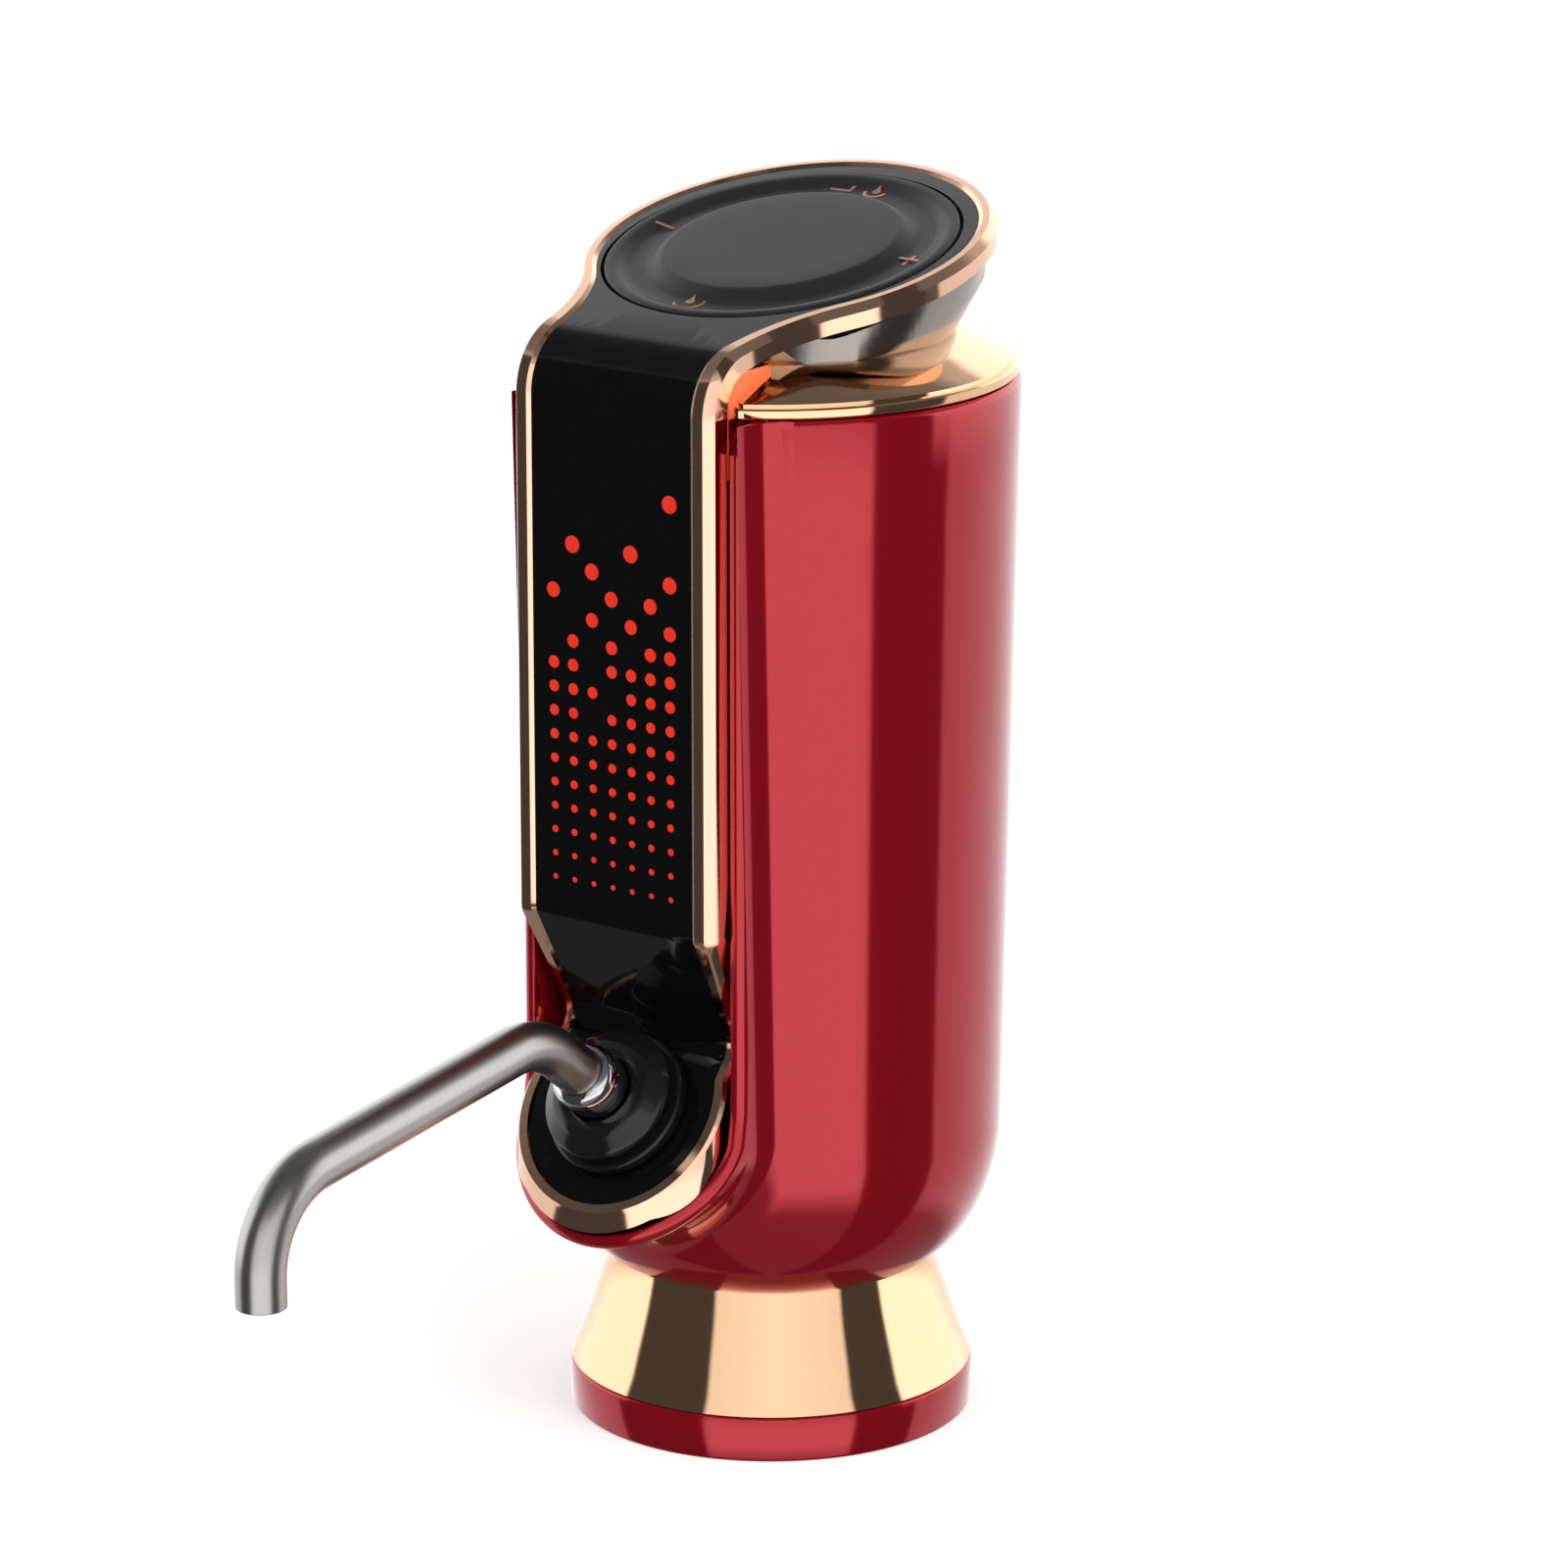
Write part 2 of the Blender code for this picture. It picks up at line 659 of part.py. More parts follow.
def make_rings():
    notch = box(
        "ring_notch",
        (-PANEL_GAP_HALF_WIDTH, -2 * BODY_TOP_RADIUS, SPIGOT_LOW - OVERRUN),
        (PANEL_GAP_HALF_WIDTH, -POCKET_BACK + CHEEK_WALL, CAP_CENTRE_HEIGHT + OVERRUN),
    )
    spigot = BODY_TOP_RADIUS - BODY_WALL - GAP
    step = turned(
        "step_ring",
        [
            (STEP_RING_RADIUS, STEP_RING_TOP),
            (STEP_RING_RADIUS, BODY_TOP + SEAM),
            (spigot, BODY_TOP + SEAM),
            (spigot, SPIGOT_LOW),
            (STEP_RING_RADIUS - RING_WIDTH, SPIGOT_LOW),
            (STEP_RING_RADIUS - RING_WIDTH, STEP_RING_TOP),
        ],
        BASE_GOLD,
        SHELL_SIDES,
    )
    cut(step, notch)
    curve = []
    for i in range(BODY_STEPS + 1):
        share = i / BODY_STEPS
        bulge = SHOULDER_BULGE_SHARE * math.sin(math.pi * share) * SHOULDER_HEIGHT
        curve.append(
            (
                SHOULDER_TOP_RADIUS + (SHOULDER_FOOT_RADIUS - SHOULDER_TOP_RADIUS) * share + bulge,
                SHOULDER_TOP + (SHOULDER_LOW - SHOULDER_TOP) * share + bulge,
            )
        )
    inner = SHOULDER_TOP_RADIUS - SHOULDER_WALL
    shoulder = turned(
        "shoulder_ring",
        curve + [(inner, SHOULDER_LOW), (inner, SHOULDER_TOP)],
        BASE_GOLD,
        SHELL_SIDES,
    )
    cut(shoulder, notch)
    return notch


CAP_TILT = math.radians(CAP_TILT_DEGREES)
CAP_FORWARD = Vector((-math.cos(CAP_TILT), -math.sin(CAP_TILT)))
CAP_UP = Vector((-math.sin(CAP_TILT), math.cos(CAP_TILT)))
CAP_MIDDLE = Vector((CAP_CENTRE_BACK, CAP_CENTRE_HEIGHT))


def crossing(first, ahead, second, onward):
    """Where two lines of the side view meet."""
    gap = Vector(second) - Vector(first)
    turn = ahead.x * onward.y - ahead.y * onward.x
    return Vector(first) + ahead * ((gap.x * onward.y - gap.y * onward.x) / turn)


HOOK = math.radians(HOOK_DEGREES)
HOOK_DOWN = Vector((math.sin(HOOK), -math.cos(HOOK)))
PANEL_LOW_END = Vector((-PANEL_FRONT, PANEL_BOTTOM))
HOOK_END = crossing(PANEL_LOW_END, HOOK_DOWN, PLATE_MIDDLE, PLATE_DOWN)
CAP_BACK_END = CAP_MIDDLE - CAP_FORWARD * (CAP_RADIUS + OVERRUN)
BEND = crossing(CAP_MIDDLE, CAP_FORWARD, PANEL_LOW_END, Vector((0, 1)))
PLATE_END = PLATE_MIDDLE + PLATE_DOWN * (PLATE_RADIUS + OVERRUN)
RIBBON_LINE = [tuple(spot) for spot in (CAP_BACK_END, BEND, PANEL_LOW_END, HOOK_END, PLATE_END)]


def ribbon_slab(name, first, last, tops, bottoms, bends, coat=None):
    """A bent sheet that follows the side line from one corner to another, between two depths."""
    corners = RIBBON_LINE[first : last + 1]
    above = rounded(shifted(corners, tops), bends[0], RIBBON_STEPS)
    below = rounded(shifted(corners, bottoms), bends[1], RIBBON_STEPS)
    wide = CAP_RADIUS + OVERRUN
    return prism(name, above + below[::-1], -wide, wide, FACING_SIDE, coat)


def cap_outline(cap_inset, strip_inset):
    """Plan of the cap: a circle on the slanted cap that runs into the straight strip in two curves."""
    radius = CAP_RADIUS - cap_inset
    half = PANEL_HALF_WIDTH - strip_inset
    fillet = CAP_FILLET + (cap_inset + strip_inset) / 2
    ahead = math.sqrt((radius + fillet) ** 2 - (half + fillet) ** 2)
    lean = math.degrees(math.atan2(ahead, half + fillet))
    front = (PANEL_FRONT + CAP_CENTRE_BACK + OVERRUN) / math.cos(CAP_TILT)
    right = [(half, front)]
    right += arc((half + fillet, ahead), (fillet, fillet), 180, 180 + lean, RIBBON_STEPS)
    right += arc((0, 0), (radius, radius), lean, -90, 2 * RIBBON_STEPS)[1:]
    left = [(-across, along) for across, along in reversed(right[:-1])]
    return [
        (across, CAP_CENTRE_BACK - math.cos(CAP_TILT) * along) for across, along in right + left
    ]


def hook_outline(strip_inset):
    """Front view that narrows the strip below the display to the plate's waist."""
    wide = CAP_RADIUS + OVERRUN
    top = CAP_CENTRE_HEIGHT + CAP_RADIUS
    half = PANEL_HALF_WIDTH - strip_inset
    waist = PLATE_WAIST - strip_inset
    narrowing = (half - waist) / (PANEL_BOTTOM - HOOK_END.y)
    shelf = PANEL_BOTTOM + OVERRUN
    low = HOOK_END.y - 2 * SEAM
    right = [(wide, top), (wide, shelf), (half + narrowing * OVERRUN, shelf)]
    right += [(waist, HOOK_END.y), (waist, low)]
    return right + [(-across, height) for across, height in reversed(right)]


def plate_outline(strip_inset):
    """Plan of the spout plate: a circle on the slope with a straight neck up to the hook."""
    radius = PLATE_RADIUS - strip_inset
    waist = PLATE_WAIST - strip_inset
    start = -math.degrees(math.acos(waist / radius))
    curve = arc((0, 0), (radius, radius), start, 180 - start, 3 * RIBBON_STEPS)
    slope = math.cos(PLATE_TILT)
    plan = [(across, -PLATE_BACK - slope * along) for across, along in curve]
    back = -POCKET_BACK + 2 * OVERRUN
    return [(waist, back)] + plan + [(-waist, back)]


def ribbon_clip(name, cap_inset, strip_inset):
    """The space within the ribbon's outline, as an upper block and a lower one."""
    low = HOOK_END.y - SEAM
    top = CAP_CENTRE_HEIGHT + CAP_RADIUS
    upper = prism(name, cap_outline(cap_inset, strip_inset), low, top)
    far = 2 * CAP_RADIUS
    keep_inside(upper, prism(name + "_front", hook_outline(strip_inset), -far, far, FACING_FRONT))
    foot = HOOK_END.y + SEAM
    lower = prism(name + "_plate", plate_outline(strip_inset), 0, foot)
    join(upper, lower)
    return upper


PAD_CENTRE = CAP_MIDDLE + CAP_FORWARD * PAD_SHIFT
CAP_FRAME = Matrix.Translation((0, PAD_CENTRE.x, PAD_CENTRE.y)) @ Matrix.Rotation(CAP_TILT, 4, "X")
BOSS_FRAME = Matrix.Translation((0, -PLATE_BACK, PLATE_HEIGHT)) @ Matrix.Rotation(PLATE_TILT, 4, "X")
PAD_UNDER = -PAD_THICKNESS
SWITCH_TOP = PAD_UNDER - SWITCH_TRAVEL
BOARD_TOP = SWITCH_TOP - SWITCH_HEIGHT - GAP
BOARD_LOW = BOARD_TOP - BUTTON_BOARD_THICKNESS
TRAY_FLOOR = BOARD_LOW - GAP
TRAY_LOW = TRAY_FLOOR - CARRIER_THICKNESS
YOKE_TOP = TRAY_LOW - GAP
YOKE_LOW = YOKE_TOP - YOKE_THICKNESS
PIVOT = YOKE_LOW - GIMBAL_HEIGHT / 2 - RUNNING_GAP
SHELF_TOP = CAP_TRIM_DEPTH + GAP
NECK_LOW = SHOULDER_TOP + SEAM


def make_ribbon():
    panel_inset = PANEL_TRIM_WIDTH + SEAM
    cap_inset = CAP_TRIM_WIDTH + SEAM
    trim = ribbon_slab(
        "trim_frame",
        0,
        4,
        (0, 0, 0, 0),
        (CAP_TRIM_DEPTH, PANEL_TRIM_DEPTH, HOOK_TRIM_DEPTH, PLATE_TRIM_DEPTH),
        ((PANEL_BEND, 0, 0), (PANEL_BEND - CAP_TRIM_DEPTH, 0, 0)),
        ROSE_GOLD,
    )
    keep_inside(trim, ribbon_clip("trim_outside", 0, 0))
    cut(trim, ribbon_clip("trim_inside", CAP_TRIM_WIDTH, PANEL_TRIM_WIDTH))
    face_clip = ribbon_clip("face_outline", cap_inset, panel_inset)
    deep = FACE_SINK + FACE_THICKNESS
    panel = ribbon_slab(
        "display_panel",
        0,
        2,
        (FACE_SINK, FACE_SINK),
        (CAP_TRIM_DEPTH, deep),
        ((PANEL_BEND - FACE_SINK,), (PANEL_BEND - CAP_TRIM_DEPTH,)),
        GLOSS_BLACK,
    )
    keep_inside(panel, face_clip)
    pad_hole = PAD_RADIUS + PAD_RUNNING_GAP
    cut(panel, rod("pad_hole", pad_hole, -2 * OVERRUN, OVERRUN, None, CAP_FRAME, SHELL_SIDES))
    recess = ribbon_slab(
        "recess_panel", 2, 3, (FACE_SINK,), (deep,), ((), ()), GLOSS_BLACK
    )
    keep_inside(recess, face_clip)
    wide = CAP_RADIUS + OVERRUN
    high = PANEL_BOTTOM - GAP
    cut(recess, box("recess_top", (-wide, -2 * wide, high), (wide, 0, high + wide)))
    cut(recess, box("recess_end", (-wide, -2 * wide, 0), (wide, 0, HOOK_END.y)))
    plate = ribbon_slab(
        "spout_plate",
        3,
        4,
        (PLATE_SINK,),
        (PLATE_SINK + FACE_THICKNESS,),
        ((), ()),
        GLOSS_BLACK,
    )
    keep_inside(plate, face_clip)
    high = HOOK_END.y - GAP
    cut(plate, box("plate_top", (-wide, -2 * wide, high), (wide, 0, high + wide)))
    cut(plate, rod("plate_hole", BOSS_BORE, -OVERRUN, OVERRUN, None, BOSS_FRAME, ROUND_SIDES))


def make_neck(notch):
    """Mirror-finished neck: a spigot in the gold ring, a flare, and a wall that follows the cap."""
    top = CAP_CENTRE_HEIGHT + NECK_RISE
    low = STEP_RING_TOP - STEP_RING_HEIGHT - RING_SPIGOT
    spigot = SHOULDER_TOP_RADIUS - SHOULDER_WALL - GAP
    flare = NECK_RADIUS + NECK_SLOPE_SHARE * (top - NECK_LOW)
    neck = turned(
        "neck_cone",
        [
            (0, top),
            (flare, top),
            (NECK_RADIUS, NECK_LOW),
            (spigot, NECK_LOW),
            (spigot, low),
            (0, low),
        ],
        MIRROR,
        SHELL_SIDES,
    )
    bore = spigot - NECK_WALL
    inner = turned(
        "neck_inside",
        [
            (0, top),
            (flare - NECK_WALL, top),
            (NECK_RADIUS - NECK_WALL, NECK_LOW),
            (bore, NECK_LOW - NECK_WALL),
            (bore, low - OVERRUN),
            (0, low - OVERRUN),
        ],
        None,
        SHELL_SIDES,
    )
    wall_inset = NECK_INSET + NECK_WALL
    plan_low = low - 2 * OVERRUN
    outer_plan = prism("neck_outline", cap_outline(NECK_INSET, NECK_INSET), plan_low, top + OVERRUN)
    hollow = cap_outline(wall_inset, PANEL_TRIM_WIDTH)
    inner_plan = prism("neck_hollow", hollow, plan_low, top + OVERRUN)
    keep_inside(inner, inner_plan)
    keep_inside(neck, outer_plan)
    over = SHELF_TOP - 3 * CAP_RADIUS
    cover = ribbon_slab("neck_top", 0, 1, (over,), (SHELF_TOP,), ((), ()))
    shelf = SHELF_TOP + CARRIER_THICKNESS + 2 * GAP
    seat = ribbon_slab("neck_seat", 0, 1, (0,), (shelf,), ((), ()))
    ledge = cap_outline(wall_inset - SEAM / 2, PANEL_TRIM_WIDTH - SEAM / 2)
    keep_inside(seat, prism("seat_outline", ledge, plan_low, top + OVERRUN))
    cut(neck, inner, cover, seat, notch)


def make_carrier():
    """Inner frame that holds the faces and the trim, with a round tray under the control pad."""
    outer = (SHELF_TOP, FACE_SINK + FACE_THICKNESS + GAP, FACE_SINK + FACE_THICKNESS + GAP)
    inner = tuple(depth + CARRIER_THICKNESS for depth in outer)
    inset = NECK_INSET + NECK_WALL + GAP
    bend = PANEL_BEND - CAP_TRIM_DEPTH
    bends = ((bend, 0), (bend - CARRIER_THICKNESS, 0))
    carrier = ribbon_slab("display_carrier", 0, 3, outer, inner, bends, INNER_PLASTIC)
    keep_inside(carrier, ribbon_clip("carrier_outline", inset, PANEL_TRIM_WIDTH + GAP))
    cup_radius = BUTTON_BOARD_RADIUS + RUNNING_GAP
    wall = cup_radius + CARRIER_THICKNESS / 2
    join(carrier, rod("tray_wall", wall, TRAY_LOW, -SHELF_TOP - GAP, None, CAP_FRAME, ROUND_SIDES))
    cut(carrier, rod("tray_space", cup_radius, TRAY_FLOOR, OVERRUN, None, CAP_FRAME, ROUND_SIDES))
    cut(carrier, rod("tray_hole", BUTTON_BOARD_HOLE, TRAY_LOW - OVERRUN, 0, None, CAP_FRAME, ROUND_SIDES))
    window = WINDOW_HALF_WIDTH
    cut(
        carrier,
        box(
            "light_window",
            (-window, -2 * PANEL_FRONT, WINDOW_LOW),
            (window, -POCKET_BACK, WINDOW_LOW + WINDOW_LENGTH),
        ),
    )
    low = HOOK_END.y + SEAM
    wide = CAP_RADIUS + OVERRUN
    cut(carrier, box("carrier_end", (-wide, -2 * wide, 0), (wide, 0, low)))


def make_display():
    """Light diffuser in the carrier's window, and the board of lamps behind it."""
    back = PANEL_FRONT - FACE_SINK - FACE_THICKNESS - GAP
    edge = WINDOW_HALF_WIDTH - GAP
    low = WINDOW_LOW + GAP
    high = WINDOW_LOW + WINDOW_LENGTH - GAP
    box("light_diffuser", (-edge, -back, low), (edge, -back + DIFFUSER_THICKNESS, high), WHITE_PLASTIC)
    front = back - CARRIER_THICKNESS - GAP
    board = LED_BOARD_HALF_WIDTH
    middle = (low + high) / 2
    half = LED_BOARD_LENGTH / 2
    box(
        "led_board",
        (-board, -front, middle - half),
        (board, -front + LED_BOARD_THICKNESS, middle + half),
        BOARD_GREEN,
    )


def make_pad():
    """Control pad: a shallow dish with a raised table, on a post with two stub pins."""
    slope = PAD_TABLE_FOOT - PAD_TABLE_RADIUS
    pad = turned(
        "control_pad",
        [
            (0, PAD_TABLE_RISE),
            (PAD_TABLE_RADIUS, PAD_TABLE_RISE),
            (PAD_TABLE_FOOT, -PAD_MOAT),
            (PAD_RADIUS - PAD_RIM - slope, -PAD_MOAT),
            (PAD_RADIUS - PAD_RIM, 0),
            (PAD_RADIUS, -PAD_RIM / 2),
            (PAD_RADIUS, PAD_UNDER),
            (0, PAD_UNDER),
        ],
        MATTE_BLACK,
        SHELL_SIDES,
        CAP_FRAME,
    )
    post = rod("pad_post", PAD_POST_RADIUS, PIVOT - GIMBAL_HEIGHT / 2, PAD_UNDER / 2, None, CAP_FRAME)
    reach = GIMBAL_RADIUS - RUNNING_GAP
    pivot = CAP_FRAME @ Matrix.Translation((0, 0, PIVOT))
    lengthways = pivot @ Matrix.Rotation(math.radians(90), 4, "X")
    pin = rod("pad_pin", TRUNNION_RADIUS, -reach, reach, None, lengthways)
    join(pad, post, pin)
    gimbal = turned(
        "pad_gimbal",
        [
            (GIMBAL_RADIUS, GIMBAL_HEIGHT / 2),
            (GIMBAL_RADIUS, -GIMBAL_HEIGHT / 2),
            (GIMBAL_RADIUS - GIMBAL_WALL, -GIMBAL_HEIGHT / 2),
            (GIMBAL_RADIUS - GIMBAL_WALL, GIMBAL_HEIGHT / 2),
        ],
        WHITE_PLASTIC,
        SMALL_SIDES,
        pivot,
    )
    hole = TRUNNION_RADIUS + SEAM
    cut(gimbal, rod("gimbal_hole", hole, -2 * GIMBAL_RADIUS, 2 * GIMBAL_RADIUS, None, lengthways))
    ear = GIMBAL_RADIUS + RUNNING_GAP
    far = ear + YOKE_EAR_THICKNESS
    for side, name in ((1, "gimbal_pin_right"), (-1, "gimbal_pin_left")):
        across = pivot @ Matrix.Rotation(math.radians(90 * side), 4, "Y")
        start = GIMBAL_RADIUS - GIMBAL_WALL / 2
        join(gimbal, rod(name, TRUNNION_RADIUS, start, far - SEAM, None, across))
    yoke = turned(
        "pad_yoke",
        [
            (YOKE_RADIUS, YOKE_TOP),
            (YOKE_RADIUS, YOKE_LOW),
            (ear, YOKE_LOW),
            (ear, YOKE_TOP),
        ],
        INNER_PLASTIC,
        ROUND_SIDES,
        CAP_FRAME,
    )
    across = pivot @ Matrix.Rotation(math.radians(90), 4, "Y")
    half = YOKE_EAR_WIDTH / 2
    for side, name in ((1, "right"), (-1, "left")):
        edges = sorted((side * ear, side * far))
        low = PIVOT - half
        high = YOKE_TOP - SEAM
        join(yoke, box("ear_" + name, (edges[0], -half, low), (edges[1], half, high), None, CAP_FRAME))
    cut(yoke, rod("yoke_hole", hole, -2 * far, 2 * far, None, across))
    turned(
        "button_board",
        [
            (BUTTON_BOARD_RADIUS, BOARD_TOP),
            (BUTTON_BOARD_RADIUS, BOARD_LOW),
            (BUTTON_BOARD_HOLE, BOARD_LOW),
            (BUTTON_BOARD_HOLE, BOARD_TOP),
        ],
        BOARD_GREEN,
        ROUND_SIDES,
        CAP_FRAME,
    )
    half = SWITCH_WIDTH / 2
    for turn, name in ((0, "plus"), (90, "back"), (180, "minus"), (270, "front")):
        stand = CAP_FRAME @ Matrix.Rotation(math.radians(turn), 4, "Z")
        low = BOARD_TOP + GAP
        near = SWITCH_CIRCLE - half
        far_side = SWITCH_CIRCLE + half
        box("switch_" + name, (near, -half, low), (far_side, half, SWITCH_TOP), MOTOR_STEEL, stand)


def make_boss():
    """Flange and nut on the spout plate, and the socket that the spout turns in."""
    face = -PLATE_SINK + SEAM
    turned(
        "boss_flange",
        [
            (BOSS_FLANGE_RADIUS - FOOT_EDGE, face + BOSS_FLANGE_HEIGHT),
            (BOSS_FLANGE_RADIUS, face + BOSS_FLANGE_HEIGHT - FOOT_EDGE),
            (BOSS_FLANGE_RADIUS, face),
            (BOSS_BORE, face),
            (BOSS_BORE, face + BOSS_FLANGE_HEIGHT),
        ],
        MATTE_BLACK,
        ROUND_SIDES,
        BOSS_FRAME,
    )
    low = face + BOSS_FLANGE_HEIGHT + SEAM
    rim = low + NUT_RIM_HEIGHT
    top = rim + NUT_TAPER_HEIGHT
    lip = top - NUT_LIP
    neck = COLLAR_RADIUS + RUNNING_GAP
    turned(
        "boss_nut",
        [
            (neck, top),
            (NUT_TOP_RADIUS, top),
            (NUT_RADIUS, rim),
            (NUT_RADIUS, low),
            (BOSS_BORE, low),
            (BOSS_BORE - GAP, lip - GAP),
            (neck, lip),
        ],
        GLOSS_BLACK,
        ROUND_SIDES,
        BOSS_FRAME,
    )
    bore = SPOUT_RADIUS + RUNNING_GAP
    outer = bore + SOCKET_WALL
    head = low + NUT_RIM_HEIGHT / 2
    back = -PLATE_SINK - FACE_THICKNESS - GAP
    floor = -SPOUT_DEPTH - RUNNING_GAP
    end = back - SOCKET_LENGTH + SOCKET_FLANGE_THICKNESS
    groove = bore + SEAL_RING_WIRE
    ring = -SPOUT_DEPTH / 2
    socket = turned(
        "nozzle_socket",
        [
            (bore, head),
            (outer, head),
            (outer, back),
            (SOCKET_FLANGE, back),
            (SOCKET_FLANGE, back - SOCKET_FLANGE_THICKNESS),
            (outer, back - SOCKET_FLANGE_THICKNESS),
            (outer, end + BARB_LENGTH),
            (BARB_RADIUS, end + BARB_LENGTH),
            (BARB_RADIUS, end),
            (SOCKET_BORE, end),
            (SOCKET_BORE, floor),
            (bore, floor),
            (bore, ring - SEAL_RING_WIRE - GAP),
            (groove, ring - SEAL_RING_WIRE - GAP),
            (groove, ring + SEAL_RING_WIRE + GAP),
            (bore, ring + SEAL_RING_WIRE + GAP),
        ],
        INNER_PLASTIC,
        ROUND_SIDES,
        BOSS_FRAME,
    )
    middle = SPOUT_RADIUS + SEAM + SEAL_RING_WIRE / 2
    seal = arc((middle, ring), (SEAL_RING_WIRE / 2, SEAL_RING_WIRE), 90, -270, SMALL_SIDES // 2)
    turned("spout_seal_ring", seal[:-1], BLACK_RUBBER, ROUND_SIDES, BOSS_FRAME)
    return end, lip


def spout_points(before, after):
    """Middle line of the spout, in the side view, with straight overruns at its two ends."""
    start = PLATE_MIDDLE - PLATE_OUT * (SPOUT_DEPTH + before)
    elbow = PLATE_MIDDLE + PLATE_OUT * SPOUT_RISE
    fall = math.radians(SPOUT_FALL_DEGREES)
    turn = elbow + Vector((-math.cos(fall), -math.sin(fall))) * SPOUT_RUN
    tip = turn + Vector((0, -1)) * (SPOUT_DROP + after)
    line = rounded(
        [tuple(start), tuple(elbow), tuple(turn), tuple(tip)],
        [SPOUT_FIRST_BEND, SPOUT_LAST_BEND],
        SPOUT_BEND_STEPS,
    )
    return [(0, along, height) for along, height in line]


def make_spout(lip):
    """Bent steel tube and the collar on it, which turn together."""
    tube = piped("spout_tube", spout_points(0, 0), SPOUT_RADIUS, SATIN_STEEL, SPOUT_RESOLUTION)
    bore = SPOUT_RADIUS - SPOUT_WALL
    cut(tube, piped("spout_bore", spout_points(OVERRUN, OVERRUN), bore, None, SPOUT_RESOLUTION))
    low = lip + GAP
    top = low + COLLAR_LENGTH
    inner = SPOUT_RADIUS + SEAM
    turned(
        "spout_collar",
        [
            (inner, top),
            (COLLAR_RADIUS - COLLAR_EDGE, top),
            (COLLAR_RADIUS, top - COLLAR_EDGE),
            (COLLAR_RADIUS, low),
            (inner, low),
        ],
        MIRROR,
        ROUND_SIDES,
        BOSS_FRAME,
    )


PLATE_LOW = SKIRT_TOP + GAP
PLATE_TOP = PLATE_LOW + SOCKET_PLATE_THICKNESS
PLUG_LOW = PLATE_LOW - SOCKET_PLUG_DEPTH
CHASSIS_LOW = PLATE_TOP + BOSS_HEIGHT + GAP
FLANGE_TOP = PLATE_TOP + GAP + PIPE_FLANGE_HEIGHT
PIPE_TOP = FLANGE_TOP + PIPE_STUB
SHELF_LEVEL = SHELF_HEIGHT + CHASSIS_PLATE
CHARGE_BOARD_FRONT = BODY_CURVE_RADIUS - USB_DEPTH - CHARGE_BOARD_DEPTH + 2 * BODY_WALL
OUTLET_OFFSET = PUMP_OFFSET - PUMP_HALF_WIDTH + PIPE_RADIUS + GAP


def upright(across, along):
    return Matrix.Translation((across, along, 0))


def make_base():
    """Plate that closes the body's bottom and holds the stopper, its pipes and the bottle's seal."""
    flange = bottom_radius(PLATE_LOW, BODY_WALL) - PLATE_EDGE_GAP
    plug = SKIRT_WAIST_RADIUS - SKIRT_WALL - GAP
    plate = turned(
        "bottle_socket",
        [
            (0, PLATE_TOP),
            (flange, PLATE_TOP),
            (flange, PLATE_LOW),
            (plug, PLATE_LOW),
            (plug, PLUG_LOW),
            (0, PLUG_LOW),
        ],
        INNER_PLASTIC,
        SHELL_SIDES,
    )
    spots = []
    for turn in (90, 210, 330):
        angle = math.radians(turn)
        spots.append((BOSS_CIRCLE * math.cos(angle), BOSS_CIRCLE * math.sin(angle)))
    for number, (across, along) in enumerate(spots, 1):
        stand = upright(across, along)
        top = PLATE_TOP + BOSS_HEIGHT
        join(plate, rod("plate_boss_%d" % number, BOSS_RADIUS, PLATE_TOP - SEAM, top, None, stand))
        hole = SCREW_RADIUS + SEAM
        cut(plate, rod("boss_hole_%d" % number, hole, PLATE_LOW + GAP, top + OVERRUN, None, stand))
    stopper_top = PLUG_LOW - GAP
    stopper = turned(
        "stopper",
        [
            (0, stopper_top),
            (STOPPER_TOP_RADIUS, stopper_top),
            (STOPPER_LOW_RADIUS, STOPPER_LOW),
            (0, STOPPER_LOW),
        ],
        SILICONE,
        ROUND_SIDES,
    )
    for side, name in ((-1, "wine_pipe"), (1, "air_pipe")):
        stand = upright(side * PIPE_OFFSET, 0)
        hole = rod(name + "_hole", PIPE_RADIUS + SEAM, -OVERRUN, PLATE_TOP + OVERRUN, None, stand)
        cut(plate, hole)
        cut(stopper, hole)
        flange_low = PLATE_TOP + GAP
        turned(
            name,
            [
                (PIPE_RADIUS, PIPE_TOP),
                (PIPE_RADIUS, FLANGE_TOP),
                (PIPE_FLANGE_RADIUS, FLANGE_TOP),
                (PIPE_FLANGE_RADIUS, flange_low),
                (PIPE_RADIUS, flange_low),
                (PIPE_RADIUS, STOPPER_LOW),
                (PIPE_BORE, STOPPER_LOW),
                (PIPE_BORE, PIPE_TOP),
            ],
            SATIN_STEEL,
            SMALL_SIDES,
            stand,
        )
    seal_top = PLUG_LOW - GAP
    turned(
        "bottle_seal",
        [
            (BOTTLE_SEAL_OUTER, seal_top),
            (BOTTLE_SEAL_OUTER, seal_top - BOTTLE_SEAL_THICKNESS),
            (BOTTLE_SEAL_INNER, seal_top - BOTTLE_SEAL_THICKNESS),
            (BOTTLE_SEAL_INNER, seal_top),
        ],
        BLACK_RUBBER,
        ROUND_SIDES,
    )
    return spots


